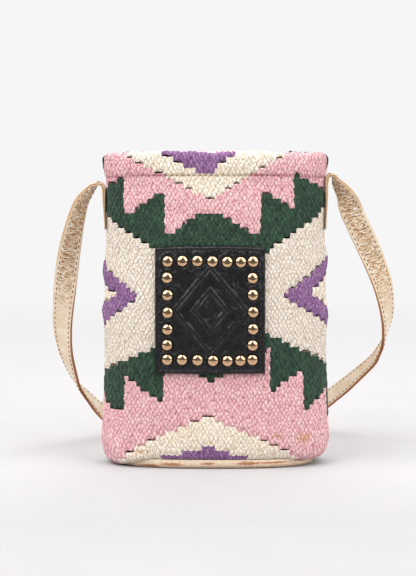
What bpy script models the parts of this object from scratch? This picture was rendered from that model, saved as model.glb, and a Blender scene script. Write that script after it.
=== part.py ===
# Small upright pouch in slit tapestry weave, with a leather base, a studded leather patch
# and one long flat strap of two leather plies that lies folded behind the pouch.
# Metres, +Z up, front towards -Y, origin under the middle of the base.

import bpy
import bmesh
import numpy as np
from math import cos, sin, pi, radians
from mathutils import Matrix, Vector

MM = 0.001

# Clearances
GAP = 0.35 * MM  # between meshes that touch on the real pouch

# Woven pouch, outside sizes
BAG_HEIGHT = 217 * MM
BAG_WIDTH = 159 * MM
WAIST_PINCH = 8 * MM  # by how much the pouch is narrower at its waist, and so on
SHOULDER_PINCH = 7 * MM
NECK_PINCH = 10 * MM
MOUTH_PINCH = 3.5 * MM
BELLY_DEPTH = 59 * MM
WAIST_DEPTH = 46 * MM
NECK_DEPTH = 38 * MM
MOUTH_DEPTH = 37 * MM
LIP_SWELL = 0.4 * MM  # of the rolled lip at the middle of the hem, each way
BELLY_HEIGHT = 21 * MM
WAIST_HEIGHT = 158 * MM
NECK_BELOW_HEM = 2 * MM
SHOULDER_LIFT = 6 * MM  # from halfway between waist and neck
BELLY_SAG_WIDTH = 2.3 * MM  # by how much each side has drawn in at three times the belly's height
BELLY_SAG_DEPTH = 1.2 * MM
FLANK_HEIGHT = 110 * MM
FLANK_HOLLOW = 0.5 * MM
FLANK_SWELL = 1 * MM
SQUARENESS = 2.6  # exponent of the plan outline, 2 is an ellipse
CLOTH = 2.6 * MM
WEAVE_RELIEF = 0.45 * MM
HEM_DEPTH = 18 * MM

# Lining
LINING = 0.8 * MM
LINING_TUCK = 10 * MM  # how far it reaches up into the hem

# Leather base tray
BASE_LENGTH = 139 * MM
BASE_DEPTH = 55 * MM
BASE_HEIGHT = 6.5 * MM
BASE_LEATHER = 1.6 * MM
BASE_EDGE_ROUND = 3.6 * MM

# Leather patch
PATCH_WIDTH = 75.2 * MM
PATCH_HEIGHT = 86.2 * MM
PATCH_X = -3.7 * MM
PATCH_Z = 110 * MM
PATCH_LEATHER = 1.3 * MM
PATCH_TURN_IN = 1.1 * MM  # edge folded under, which stands the patch off the cloth
PATCH_BORDER = 4.2 * MM
PATCH_ARCH = 1.2 * MM  # rise of the top edge
MOTIF_SIZE = 30 * MM
MOTIF_STEPS = 3
MOTIF_RELIEF = 0.5 * MM

# Studs
STUD_DIAMETER = 7.3 * MM
STUD_RISE = 2.1 * MM
STUD_SHANK = 1.6 * MM
STUD_TAIL = 2.8 * MM
STUD_TAIL_HEIGHT = 0.4 * MM
STUD_INSET_X = 8.45 * MM  # from the patch edge to the stud centres
STUD_INSET_Z = 9.45 * MM
STUDS_ACROSS = 7
STUDS_UP = 7
STUD_DRIFT_ACROSS = 0.034  # the hand-set studs crowd to the right, as a share of the row
STUD_DRIFT_DOWN = 0.015
STUD_DRIFT_START = 1.4  # above 1 the drift is largest past the middle of the row

# Strap
STRAP_WIDTH = 16 * MM
STRAP_PLY = 0.85 * MM
TAB_FOOT = 164 * MM  # height of both sewn ends
TAB_TOP_LEFT = 190 * MM
TAB_TOP_RIGHT = 196 * MM
BEND = 3.6 * MM  # radius of the bend at the top of each tab
BEND_LIFT = 2 * MM
FOLD_Y = 110 * MM  # first run of the strap on the floor
FOLD_RADIUS = 21 * MM
FOLD_LEFT_X = -32 * MM
FOLD_RIGHT_X = 48 * MM
RETURN_X = -44 * MM
RETURN_RADIUS = 28 * MM
RETURN_RUN = 25 * MM  # behind and in front of the first run, where the strap heads forward again
RETURN_PAST = 4 * MM

# Weave counted from the middle of the pattern and from the floor
WARPS = 64
PICKS_TO_SEAM = 46
PATTERN_PICKS = 2  # picks by which the pattern's middle lies left of the pouch's middle
FACET_COLUMNS = 20
FACET_ROWS = 38
RELIEF_FOOT = 16 * MM  # height from which the facets are in relief

YARNS = {
    "pink": ((0.77, 0.40, 0.46, 1), 0.9),
    "green": ((0.028, 0.102, 0.060, 1), 0.9),
    "purple": ((0.32, 0.145, 0.38, 1), 0.9),
    "cream": ((0.87, 0.77, 0.61, 1), 0.9),
    "oatmeal": ((0.79, 0.69, 0.60, 1), 0.9),
}

# Each edge is the lower limit of its colour, as (pick, warp) corners
PURPLE_CROWN = [(-20.5, 64.3), (-2.4, 59.9), (0.9, 59.9), (2.2, 61.2), (11.5, 64.3)]
CREAM_VEE = [(-33.5, 64.5), (-1, 55.2), (1.4, 55.2), (28.5, 64.3)]
PINK_FRINGE = [
    (-48, 55.6), (-32.1, 58.8), (-31.1, 58.8), (-31, 51.6), (-28.5, 51.9), (-18.2, 56.3),
    (-15.6, 56.3), (-15.5, 47.8), (-14, 47.8), (-6, 51.2), (-1.2, 52.3), (2, 52.3), (16, 48), (18.4, 48),
    (18.5, 56), (20.3, 56), (28.3, 53.3), (30.1, 53.3), (30.2, 59.6), (31.6, 59.6), (48, 55.6),
]
GREEN_SHOULDER = [(-48, 52.5), (-40, 51.5), (-19.5, 44.6), (0, 38.5), (19, 43.9), (48, 54.6)]
STAR_TOP = [(-48, 44.5), (-26.5, 36), (27, 36), (48, 44.5)]
STAR_FOOT = [(-48, 25.9), (-26.5, 34.5), (27, 35), (48, 27.9)]
NOTCH_TOP = [(-48, 39.6), (-34.5, 35.6), (36.5, 36.2), (48, 40)]
NOTCH_FOOT = [(-48, 31.6), (-34.5, 35.1), (36.5, 35.7), (48, 31.9)]
OATMEAL_FOOT = [(-48, 18.6), (-38.7, 20), (-19.7, 24.8), (0, 29.9), (19.3, 28), (48, 20.2)]
GREEN_FRINGE = [
    (-48, 17.3), (-34, 11.5), (-30.2, 11.5), (-30.1, 18.9), (-18.2, 14.5), (-15.6, 14.5),
    (-15.5, 23.4), (-1, 18.5), (2, 18.5), (21.4, 24.9), (21.5, 16.1), (31, 19.6), (32.9, 19.9),
    (33, 12.3), (35, 12.4), (44, 16.4), (44.2, 10.4), (48, 10.4),
]
CREAM_PEAK = [(-48, -2.3), (-34, 2.6), (-1, 10.9), (1.6, 10.9), (3, 10), (31, 2.8), (48, -1.6)]
PURPLE_ROOT = [(-18.5, 1.7), (-17, 3), (-3, 4), (-2.3, 5.1), (1.6, 5), (2.5, 4), (13, 2.9), (17, 1.7)]
STAR_INNER = 26  # picks from the middle to the points of the stars and of their notches
NOTCH_INNER = 34
BACK_SHIFT = -8  # warps by which the back panel's pattern lies higher

TOP_FIELDS = [("purple", PURPLE_CROWN), ("cream", CREAM_VEE), ("pink", PINK_FRINGE)]
FOOT_FIELDS = [("purple", PURPLE_ROOT), ("cream", CREAM_PEAK), ("pink", GREEN_FRINGE)]

# Strap route from below the right bend, as (outward from the side of the pouch, y, z) and the
# direction from its first edge to its second edge, outward being to the right here as well
RIGHT_FALL = [
    ((5.2, 0, 195.7), (-0.22, 0.93, -0.28)),
    ((11.3, 0, 186.6), (-0.58, 0.70, -0.42)),
    ((15.6, 2, 175.6), (-0.88, 0.15, -0.44)),
    ((21.6, 5, 162.9), (-0.89, 0, -0.45)),
    ((28.1, 9, 149.9), (-0.90, -0.10, -0.44)),
    ((34, 14, 136.8), (-0.85, -0.37, -0.37)),
    ((39.4, 20, 123.4), (-0.81, -0.53, -0.26)),
    ((43.1, 27, 109.7), (-0.69, -0.71, -0.12)),
    ((44.9, 35, 95.8), (-0.46, -0.89, 0)),
    ((43.9, 44, 81.4), (-0.14, -0.99, 0.04)),
    ((41.1, 51, 71.6), (0.02, -1, 0)),
    ((35.9, 60, 61.4), (0.12, -0.98, -0.12)),
    ((22.4, 73, 45.8), (0.22, -0.94, -0.24)),
    ((12.1, 84, 34.8), (0.25, -0.92, -0.30)),
    ((0.5, 95, 23.5), (0.20, -0.80, -0.56)),
    ((-13.5, 104, 13), (0.05, -0.45, -0.90)),
]
# The left side, where outward is to the left and the directions are as seen
LEFT_RISE = [
    ((-3, 91, 13.5), (-0.05, -0.50, -0.86)),
    ((6.2, 79, 22), (-0.15, -0.93, -0.33)),
    ((14.5, 70, 32.7), (-0.06, -0.99, -0.10)),
    ((21.5, 61, 43.2), (0.10, -0.99, 0.05)),
    ((25.2, 53, 53.5), (0.30, -0.94, 0.14)),
    ((29.4, 40, 73.2), (0.60, -0.80, 0.08)),
    ((30.1, 29, 92.2), (0.82, -0.57, 0)),
    ((28.2, 20, 110.5), (0.92, -0.38, -0.06)),
    ((25.8, 13, 128.4), (1, 0, -0.10)),
    ((23.1, 8, 145.8), (0.91, 0.39, -0.12)),
    ((19.5, 4, 163), (0.73, 0.66, -0.17)),
    ((16.1, 2, 175.6), (0.57, 0.80, -0.18)),
    ((12.8, 1, 184), (0.40, 0.88, -0.25)),
    ((6.1, 0, 192.7), (0.12, 0.97, -0.18)),
]


def clear_scene():
    for old in list(bpy.data.objects):
        bpy.data.objects.remove(old, do_unlink=True)


def material(name, colour, roughness, metallic=0.0):
    found = bpy.data.materials.get(name)
    if found:
        return found
    made = bpy.data.materials.new(name)
    made.use_nodes = True
    shader = made.node_tree.nodes["Principled BSDF"]
    shader.inputs["Base Color"].default_value = colour
    shader.inputs["Roughness"].default_value = roughness
    shader.inputs["Metallic"].default_value = metallic
    made.diffuse_color = colour
    return made


def link(name, mesh, *finishes):
    piece = bpy.data.objects.new(name, mesh)
    for finish in finishes:
        mesh.materials.append(finish)
    bpy.context.collection.objects.link(piece)
    return piece


def mesh_from(name, points, faces):
    build = bmesh.new()
    corners = [build.verts.new(point) for point in points]
    for face in faces:
        build.faces.new([corners[index] for index in face])
    bmesh.ops.recalc_face_normals(build, faces=build.faces)
    mesh = bpy.data.meshes.new(name)
    build.to_mesh(mesh)
    build.free()
    return mesh


def smooth_at(stations, value):
    # Hermite curve through stations, each a value followed by the sizes there
    table = np.array(stations)
    keys = table[:, 0]
    sizes = table[:, 1:]
    index = int(np.clip(np.searchsorted(keys, value) - 1, 0, len(keys) - 2))
    slopes = []
    for end in (index, index + 1):
        low = max(end - 1, 0)
        high = min(end + 1, len(keys) - 1)
        slopes.append((sizes[high] - sizes[low]) / (keys[high] - keys[low]))
    span = keys[index + 1] - keys[index]
    t = np.clip((value - keys[index]) / span, 0, 1)
    return (
        (2 * t**3 - 3 * t**2 + 1) * sizes[index]
        + (t**3 - 2 * t**2 + t) * span * slopes[0]
        + (3 * t**2 - 2 * t**3) * sizes[index + 1]
        + (t**3 - t**2) * span * slopes[1]
    )


# Where the cloth leaves the tray and where it is pressed inside it
ROLL_START = BASE_HEIGHT + GAP
TUCK_LENGTH = BASE_LENGTH - 2 * (BASE_LEATHER + GAP)
TUCK_DEPTH = BASE_DEPTH - 2 * (BASE_LEATHER + GAP)
HEM_SLIT = LINING + 2 * GAP
FOLD_OUTER = CLOTH + HEM_SLIT / 2
FOLD_CENTRE_Z = BAG_HEIGHT - FOLD_OUTER
HEM_FOOT = BAG_HEIGHT - HEM_DEPTH
NECK_HEIGHT = HEM_FOOT - NECK_BELOW_HEM
SHOULDER_HEIGHT = (WAIST_HEIGHT + NECK_HEIGHT) / 2 + SHOULDER_LIFT
LIP_HEIGHT = BAG_HEIGHT - HEM_DEPTH / 2
INNER_HEIGHTS = np.linspace(BELLY_HEIGHT, HEM_FOOT, 8)

BODY_STATIONS = [
    (BELLY_HEIGHT, BAG_WIDTH / 2, BELLY_DEPTH / 2),
    (BELLY_HEIGHT * 3, BAG_WIDTH / 2 - BELLY_SAG_WIDTH, BELLY_DEPTH / 2 - BELLY_SAG_DEPTH),
    (
        FLANK_HEIGHT,
        BAG_WIDTH / 2 - WAIST_PINCH / 4 - FLANK_HOLLOW,
        (BELLY_DEPTH + WAIST_DEPTH) / 4 + FLANK_SWELL,
    ),
    (WAIST_HEIGHT, (BAG_WIDTH - WAIST_PINCH) / 2, WAIST_DEPTH / 2),
    (SHOULDER_HEIGHT, (BAG_WIDTH - SHOULDER_PINCH) / 2, (WAIST_DEPTH + NECK_DEPTH) / 4),
    (NECK_HEIGHT, (BAG_WIDTH - NECK_PINCH) / 2, NECK_DEPTH / 2),
    (LIP_HEIGHT, (BAG_WIDTH - MOUTH_PINCH) / 2, MOUTH_DEPTH / 2 + LIP_SWELL),
    (BAG_HEIGHT, (BAG_WIDTH - MOUTH_PINCH) / 2, MOUTH_DEPTH / 2),
]


def cloth_size(z, inward=0.0):
    # Half width and half depth of the cloth at height z, on the outer face or further in
    if z >= BELLY_HEIGHT:
        half_width, half_depth = smooth_at(BODY_STATIONS, z)
    else:
        start = ROLL_START + inward
        share = np.clip((BELLY_HEIGHT - z) / (BELLY_HEIGHT - start), 0, 1)
        swell = (1 - share**2) ** 0.5
        half_width = BASE_LENGTH / 2 + swell * (BAG_WIDTH - BASE_LENGTH) / 2
        half_depth = BASE_DEPTH / 2 + swell * (BELLY_DEPTH - BASE_DEPTH) / 2
    return half_width - inward, half_depth - inward


def plan_angles(count):
    # Angles that give facets of even width round the front half of the plan outline
    fine = np.linspace(0, pi, 721)
    outline = plan_points(fine, BAG_WIDTH / 2, BELLY_DEPTH / 2)
    run = np.concatenate([[0], np.cumsum(np.linalg.norm(np.diff(outline, axis=0), axis=1))])
    return np.interp(np.linspace(0, run[-1], count + 1), run, fine)


def plan_points(angles, half_width, half_depth):
    power = 2 / SQUARENESS
    cosines = np.cos(angles)
    sines = np.abs(np.sin(angles))
    x = -half_width * np.sign(cosines) * np.abs(cosines) ** power
    y = -half_depth * sines**power
    return np.stack([x, y], axis=1)


FRONT_ANGLES = plan_angles(FACET_COLUMNS)


def half_ring(z, half_width, half_depth, side):
    # One row of points from the left seam to the right seam, side -1 in front and 1 behind
    ring = []
    for x, y in plan_points(FRONT_ANGLES, half_width, half_depth):
        ring.append((x, side * max(-y, GAP / 2), z))
    return ring


def full_ring(z, half_width, half_depth):
    front = plan_points(FRONT_ANGLES, half_width, half_depth)
    back = front[::-1][1:-1] * (1, -1)
    return [(x, y, z) for x, y in np.concatenate([front, back])]


def stair_level(edge, pick):
    picks, warps = zip(*edge)
    return round(float(np.interp(pick, picks, warps, left=-WARPS, right=-WARPS)))


def yarn_at(pick, warp):
    # Colour of the weft at a pick and warp: two stepped fans meet at a pair of half stars
    for yarn, edge in TOP_FIELDS:
        level = stair_level(edge, pick)
        if level > 0 and warp >= level:
            return yarn
    for yarn, edge in FOOT_FIELDS:
        if warp < stair_level(edge, pick):
            return yarn
    if warp >= stair_level(GREEN_SHOULDER, pick) or warp < stair_level(OATMEAL_FOOT, pick):
        return "green"
    if abs(pick) > NOTCH_INNER and stair_level(NOTCH_FOOT, pick) <= warp < stair_level(NOTCH_TOP, pick):
        return "cream"
    in_star = stair_level(STAR_FOOT, pick) <= warp < stair_level(STAR_TOP, pick)
    return "purple" if in_star and abs(pick) > STAR_INNER else "oatmeal"


def panel_rows():
    # Closed section of the cloth as (height, half width, half depth, relief), from the tucked
    # edge up the face, over the hem, down inside it, back up its slit and down the inner face
    rows = []
    tuck_foot = BASE_LEATHER + GAP
    rows.append((tuck_foot, TUCK_LENGTH / 2, TUCK_DEPTH / 2, 0))
    rows.append((ROLL_START, TUCK_LENGTH / 2, TUCK_DEPTH / 2, 0))
    rows.append((ROLL_START, *cloth_size(ROLL_START), 0))
    for turn in (30, 55):
        z = BELLY_HEIGHT - (BELLY_HEIGHT - ROLL_START) * cos(radians(turn))
        rows.append((z, *cloth_size(z), 0))
    for z in np.linspace(RELIEF_FOOT, FOLD_CENTRE_Z - FOLD_OUTER / 2, FACET_ROWS):
        rows.append((z, *cloth_size(z), WEAVE_RELIEF))
    for turn in range(0, 181, 36):
        lift = FOLD_OUTER * sin(radians(turn))
        inward = FOLD_OUTER * (1 - cos(radians(turn)))
        rows.append((FOLD_CENTRE_Z + lift, *cloth_size(FOLD_CENTRE_Z, inward), 0))
    inner = 2 * CLOTH + HEM_SLIT
    for z, inward in (
        ((HEM_FOOT + FOLD_CENTRE_Z) / 2, inner),
        (HEM_FOOT, inner),
        (HEM_FOOT, CLOTH + HEM_SLIT),
        ((HEM_FOOT + FOLD_CENTRE_Z) / 2, CLOTH + HEM_SLIT),
        (FOLD_CENTRE_Z, CLOTH + HEM_SLIT),
        (FOLD_CENTRE_Z + HEM_SLIT / 2, CLOTH + HEM_SLIT / 2),
        (FOLD_CENTRE_Z, CLOTH),
        ((HEM_FOOT + FOLD_CENTRE_Z) / 2, CLOTH),
    ):
        rows.append((z, *cloth_size(z, inward), 0))
    for z in INNER_HEIGHTS[::-1]:
        rows.append((z, *cloth_size(z, CLOTH), 0))
    for turn in (50, 20):
        z = BELLY_HEIGHT - (BELLY_HEIGHT - ROLL_START - CLOTH) * cos(radians(turn))
        rows.append((z, *cloth_size(z, CLOTH), 0))
    inside = (TUCK_LENGTH / 2 - CLOTH, TUCK_DEPTH / 2 - CLOTH)
    rows.append((ROLL_START + CLOTH, *inside, 0))
    rows.append((tuck_foot, *inside, 0))
    return rows


def add_panel(name, side, pattern_shift):
    rows = panel_rows()
    points = []
    for number, (z, half_width, half_depth, relief) in enumerate(rows):
        ring = half_ring(z, half_width, half_depth, side)
        for column, (x, y, height) in enumerate(ring):
            if relief and (number + column) % 2 and 0 < column < FACET_COLUMNS:
                y += side * relief * abs(y) / half_depth
                x += relief * x / half_width * 0.5
            points.append((x, y, height))
    width = FACET_COLUMNS + 1
    faces = []
    for row in range(len(rows)):
        above = (row + 1) % len(rows)
        for column in range(FACET_COLUMNS):
            faces.append((
                row * width + column,
                row * width + column + 1,
                above * width + column + 1,
                above * width + column,
            ))
    faces.append([row * width for row in range(len(rows))])
    faces.append([row * width + FACET_COLUMNS for row in range(len(rows))])
    mesh = mesh_from(name, points, faces)
    names = list(YARNS)
    finishes = [material("yarn_" + yarn, *YARNS[yarn]) for yarn in names]
    panel = link(name, mesh, *finishes)
    for face in mesh.polygons:
        centre = face.center
        outline = plan_points(FRONT_ANGLES, *cloth_size(max(centre.z, BELLY_HEIGHT)))[:, 0]
        place = np.interp(centre.x, outline, np.arange(len(outline)))
        pick = (place / FACET_COLUMNS * 2 - 1) * PICKS_TO_SEAM + PATTERN_PICKS
        warp = centre.z / BAG_HEIGHT * WARPS + pattern_shift
        face.material_index = names.index(yarn_at(pick, warp))
    return panel


def ring_solid(name, rings, finish):
    # Rings one above the other, closed by a flat face at the first and at the last
    count = len(rings[0])
    points = [point for ring in rings for point in ring]
    faces = []
    for row in range(len(rings) - 1):
        for column in range(count):
            after = (column + 1) % count
            faces.append((
                row * count + column,
                row * count + after,
                (row + 1) * count + after,
                (row + 1) * count + column,
            ))
    faces.append(list(range(count)))
    faces.append(list(range(len(points) - count, len(points))))
    return link(name, mesh_from(name, points, faces), finish)


def add_lining():
    outward = CLOTH + GAP
    inward = outward + LINING
    floor = BASE_LEATHER + GAP
    top = HEM_FOOT + LINING_TUCK
    shoulder = ROLL_START + CLOTH + GAP
    outer = [(floor, TUCK_LENGTH / 2 - outward, TUCK_DEPTH / 2 - outward)]
    outer.append((shoulder, TUCK_LENGTH / 2 - outward, TUCK_DEPTH / 2 - outward))
    inner = [(floor + LINING, TUCK_LENGTH / 2 - inward, TUCK_DEPTH / 2 - inward)]
    inner.append((shoulder + LINING, TUCK_LENGTH / 2 - inward, TUCK_DEPTH / 2 - inward))
    for z in (*INNER_HEIGHTS, (HEM_FOOT + FOLD_CENTRE_Z) / 2, top):
        outer.append((z, *cloth_size(z, outward)))
        inner.append((z, *cloth_size(z, inward)))
    rings = [full_ring(*size) for size in outer + inner[::-1]]
    cotton = material("black_cotton", (0.012, 0.012, 0.014, 1), 0.95)
    return ring_solid("lining", rings, cotton)


def add_base():
    half_length = BASE_LENGTH / 2
    half_depth = BASE_DEPTH / 2
    rings = []
    for turn in (0, 30, 60, 90):
        inset = BASE_EDGE_ROUND * (1 - sin(radians(turn)))
        z = BASE_EDGE_ROUND * (1 - cos(radians(turn)))
        rings.append(full_ring(z, half_length - inset, half_depth - inset))
    rings.append(full_ring(BASE_HEIGHT, half_length, half_depth))
    wall = BASE_LEATHER
    rings.append(full_ring(BASE_HEIGHT, half_length - wall, half_depth - wall))
    rings.append(full_ring(BASE_LEATHER, half_length - wall, half_depth - wall))
    gold = material("base_leather", (0.72, 0.56, 0.40, 1), 0.5, 0.3)
    base = ring_solid("base", rings, gold)
    base.data.shade_smooth()
    base.data.set_sharp_from_angle(angle=radians(40))
    return base


def front_y(x, z, standoff):
    # Depth of the front face at x and z, moved out by standoff
    half_width, half_depth = cloth_size(z)
    flat = (1 - min(abs(x) / half_width, 1) ** SQUARENESS) ** (1 / SQUARENESS)
    return -half_depth * flat - standoff


def curved_slab(name, width, height, near, far, columns, rows, arch=0.0):
    # Sheet that follows the front face between two distances from it
    points = []
    for standoff in (near, far):
        for row in range(rows + 1):
            for column in range(columns + 1):
                across = column / columns * 2 - 1
                up = row / rows * 2 - 1
                x = PATCH_X + across * width / 2
                z = PATCH_Z + up * height / 2 + max(up, 0) * arch * (1 - across**2)
                points.append((x, front_y(x, z, standoff), z))
    width_count = columns + 1
    layer = width_count * (rows + 1)
    faces = []
    for row in range(rows):
        for column in range(columns):
            corner = row * width_count + column
            square = (corner, corner + 1, corner + width_count + 1, corner + width_count)
            faces.append(square)
            faces.append([index + layer for index in square])
    rim = list(range(columns))
    rim += [row * width_count + columns for row in range(rows)]
    rim += [rows * width_count + column for column in range(columns, 0, -1)]
    rim += [row * width_count for row in range(rows, 0, -1)]
    for index, corner in enumerate(rim):
        after = rim[(index + 1) % len(rim)]
        faces.append((corner, after, after + layer, corner + layer))
    return mesh_from(name, points, faces)


def drifted(count, drift):
    # Places from -1 to 1 along a row of studs, pushed along it by up to a share of the row
    even = np.linspace(0, 1, count)
    return 2 * (even + drift * np.sin(pi * even**STUD_DRIFT_START)) - 1


def stud_places():
    # Centres of the studs in a rectangle of two rows and two columns
    half_x = PATCH_WIDTH / 2 - STUD_INSET_X
    half_z = PATCH_HEIGHT / 2 - STUD_INSET_Z
    places = []
    for z in (half_z, -half_z):
        for across in drifted(STUDS_ACROSS, STUD_DRIFT_ACROSS):
            places.append((PATCH_X + half_x * across, PATCH_Z + z))
    for x in (-half_x, half_x):
        for down in drifted(STUDS_UP, STUD_DRIFT_DOWN)[1:-1]:
            places.append((PATCH_X + x, PATCH_Z - half_z * down))
    return places


PATCH_BACK = WEAVE_RELIEF + GAP
PATCH_PLY_BACK = PATCH_BACK + PATCH_TURN_IN
PATCH_FRONT = PATCH_PLY_BACK + PATCH_LEATHER


def cutter(name, mesh, target, operation="DIFFERENCE"):
    tool = link(name, mesh)
    tool.hide_render = True
    tool.display_type = "WIRE"
    step = target.modifiers.new(name, "BOOLEAN")
    step.operation = operation
    step.solver = "EXACT"
    step.object = tool
    return tool


def motif_mesh():
    # Stepped diamond of small squares on the patch, raised from inside the leather
    unit = MOTIF_SIZE / (2 * MOTIF_STEPS)
    span = range(-MOTIF_STEPS, MOTIF_STEPS)
    cells = {(i, j) for i in span for j in span if abs(i + 0.5) + abs(j + 0.5) <= MOTIF_STEPS}
    corners = {}
    points = []
    for standoff in (PATCH_FRONT - PATCH_LEATHER / 2, PATCH_FRONT + MOTIF_RELIEF):
        for i in range(-MOTIF_STEPS, MOTIF_STEPS + 1):
            for j in range(-MOTIF_STEPS, MOTIF_STEPS + 1):
                if not {(i, j), (i - 1, j), (i, j - 1), (i - 1, j - 1)} & cells:
                    continue
                x = PATCH_X + i * unit
                z = PATCH_Z + j * unit
                corners[standoff, i, j] = len(points)
                points.append((x, front_y(x, z, standoff), z))
    low, high = PATCH_FRONT - PATCH_LEATHER / 2, PATCH_FRONT + MOTIF_RELIEF
    faces = []
    for i, j in sorted(cells):
        square = ((i, j), (i + 1, j), (i + 1, j + 1), (i, j + 1))
        faces.append([corners[low, a, b] for a, b in square])
        faces.append([corners[high, a, b] for a, b in square])
        beside = ((i, j - 1), (i + 1, j), (i, j + 1), (i - 1, j))
        for side, neighbour in enumerate(beside):
            if neighbour not in cells:
                start, end = square[side], square[(side + 1) % 4]
                faces.append([
                    corners[low, *start],
                    corners[low, *end],
                    corners[high, *end],
                    corners[high, *start],
                ])
    return mesh_from("motif", points, faces)


def add_patch():
    slab = curved_slab("patch", PATCH_WIDTH, PATCH_HEIGHT, PATCH_BACK, PATCH_FRONT, 8, 8, PATCH_ARCH)
    black = material("black_leather", (0.014, 0.014, 0.017, 1), 0.5)
    patch = link("patch", slab, black)
    pocket_width = PATCH_WIDTH - 2 * PATCH_BORDER
    pocket_height = PATCH_HEIGHT - 2 * PATCH_BORDER
    pocket = curved_slab("pocket", pocket_width, pocket_height, 0, PATCH_PLY_BACK, 8, 8)
    cutter("patch_pocket", pocket, patch)
    cutter("patch_motif", motif_mesh(), patch, "UNION")
    holes = bmesh.new()
    for x, z in stud_places():
        turned = Matrix.Translation((x, front_y(x, z, PATCH_FRONT), z)) @ Matrix.Rotation(pi / 2, 4, "X")
        bmesh.ops.create_cone(
            holes,
            cap_ends=True,
            segments=8,
            radius1=STUD_SHANK / 2 + GAP,
            radius2=STUD_SHANK / 2 + GAP,
            depth=4 * PATCH_LEATHER,
            matrix=turned,
        )
    mesh = bpy.data.meshes.new("holes")
    holes.to_mesh(mesh)
    holes.free()
    cutter("patch_holes", mesh, patch)
    return patch


def stud_mesh():
    # Dome, shank and flared tail turned about Z, with the underside of the dome at height 0
    radius = STUD_DIAMETER / 2
    tail_top = -GAP - PATCH_LEATHER - GAP
    profile = [
        (radius * 0.62, STUD_RISE * 0.78),
        (radius, 0),
        (STUD_SHANK / 2, 0),
        (STUD_SHANK / 2, tail_top),
        (STUD_TAIL / 2, tail_top - STUD_TAIL_HEIGHT),
    ]
    segments = 8
    points = [(0, 0, STUD_RISE)]
    for size, z in profile:
        for index in range(segments):
            angle = 2 * pi * (index + 0.5) / segments
            points.append((size * cos(angle), size * sin(angle), z))
    faces = []
    for index in range(segments):
        after = (index + 1) % segments
        faces.append((0, 1 + index, 1 + after))
        for row in range(len(profile) - 1):
            low = 1 + row * segments
            faces.append((low + index, low + after, low + segments + after, low + segments + index))
    faces.append([1 + (len(profile) - 1) * segments + index for index in range(segments)])
    mesh = mesh_from("stud", points, faces)
    mesh.shade_smooth()
    mesh.set_sharp_from_angle(angle=radians(45))
    return mesh


def add_studs():
    mesh = stud_mesh()
    mesh.materials.append(material("gold_metal", (0.69, 0.45, 0.20, 1), 0.25, 1.0))
    step = STUD_DIAMETER / 2
    for number, (x, z) in enumerate(stud_places(), 1):
        stud = bpy.data.objects.new("stud_%02d" % number, mesh)
        bpy.context.collection.objects.link(stud)
        here = front_y(x, z, PATCH_FRONT + GAP)
        tilt_x = (front_y(x + step, z, 0) - front_y(x - step, z, 0)) / (2 * step)
        tilt_z = (front_y(x, z + step, 0) - front_y(x, z - step, 0)) / (2 * step)
        outward = Vector((tilt_x, -1, tilt_z)).normalized()
        stud.rotation_mode = "QUATERNION"
        stud.rotation_quaternion = outward.to_track_quat("Z", "Y")
        stud.location = (x, here, z)


STRAP_HALF = STRAP_PLY + GAP / 2  # from the middle of the strap to its face
TAB_STANDOFF = GAP + STRAP_HALF


def tab_route(side, top):
    # Sewn end from its foot up the side of the pouch and through the bend at its top
    depthwise = (0, 1, 0)
    route = []
    for z in np.linspace(TAB_FOOT, top, 5):
        route.append(((side * (cloth_size(z)[0] + TAB_STANDOFF), 0, z), depthwise))
    start = cloth_size(top)[0] + TAB_STANDOFF
    for turn in (40, 80, 115):
        out = BEND * (1 - cos(radians(turn)))
        lift = BEND * sin(radians(turn)) + BEND_LIFT
        route.append(((side * (start + out), 0, top + lift), depthwise))
    return route


def floor_route():
    # Runs on edge behind the pouch: two half turns, then a quarter turn back to the left
    upright = (0, 0, -1)
    plan = [(FOLD_RIGHT_X, FOLD_Y), (0, FOLD_Y)]
    radius = FOLD_RADIUS
    for turn in range(0, 181, 36):
        angle = radians(turn)
        plan.append((FOLD_LEFT_X - radius * sin(angle), FOLD_Y + radius - radius * cos(angle)))
    plan.append((0, FOLD_Y + 2 * radius))
    for turn in range(0, 181, 36):
        angle = radians(turn)
        plan.append((FOLD_RIGHT_X + radius * sin(angle), FOLD_Y + 3 * radius - radius * cos(angle)))
    last_y = FOLD_Y + 4 * radius
    plan.append((0, last_y))
    for turn in range(0, 91, 30):
        angle = radians(turn)
        x = RETURN_X - RETURN_RADIUS * sin(angle)
        plan.append((x, last_y - RETURN_RADIUS + RETURN_RADIUS * cos(angle)))
    plan.append((RETURN_X - RETURN_RADIUS, FOLD_Y + RETURN_RUN))
    plan.append((RETURN_X - RETURN_RADIUS, FOLD_Y - RETURN_PAST))
    return [((x, y, STRAP_WIDTH / 2), upright) for x, y in plan]


def strap_route():
    fall = [((BAG_WIDTH / 2 + MM * out, MM * y, MM * z), edge) for (out, y, z), edge in RIGHT_FALL]
    rise = [((-BAG_WIDTH / 2 - MM * out, MM * y, MM * z), edge) for (out, y, z), edge in LEFT_RISE]
    left_tab = tab_route(-1, TAB_TOP_LEFT)[::-1]
    return tab_route(1, TAB_TOP_RIGHT) + fall + floor_route() + rise + left_tab


def smooth_line(corners, parts):
    # Catmull-Rom curve through the corners, each step between them in so many parts
    corners = np.array(corners, dtype=float)
    padded = np.concatenate([[2 * corners[0] - corners[1]], corners, [2 * corners[-1] - corners[-2]]])
    line = []
    for index in range(len(corners) - 1):
        a, b, c, d = padded[index:index + 4]
        for t in np.arange(parts) / parts:
            line.append(0.5 * (2 * b + (c - a) * t + (2 * a - 5 * b + 4 * c - d) * t**2
                               + (3 * b - a - 3 * c + d) * t**3))
    return np.array(line + [corners[-1]])


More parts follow.
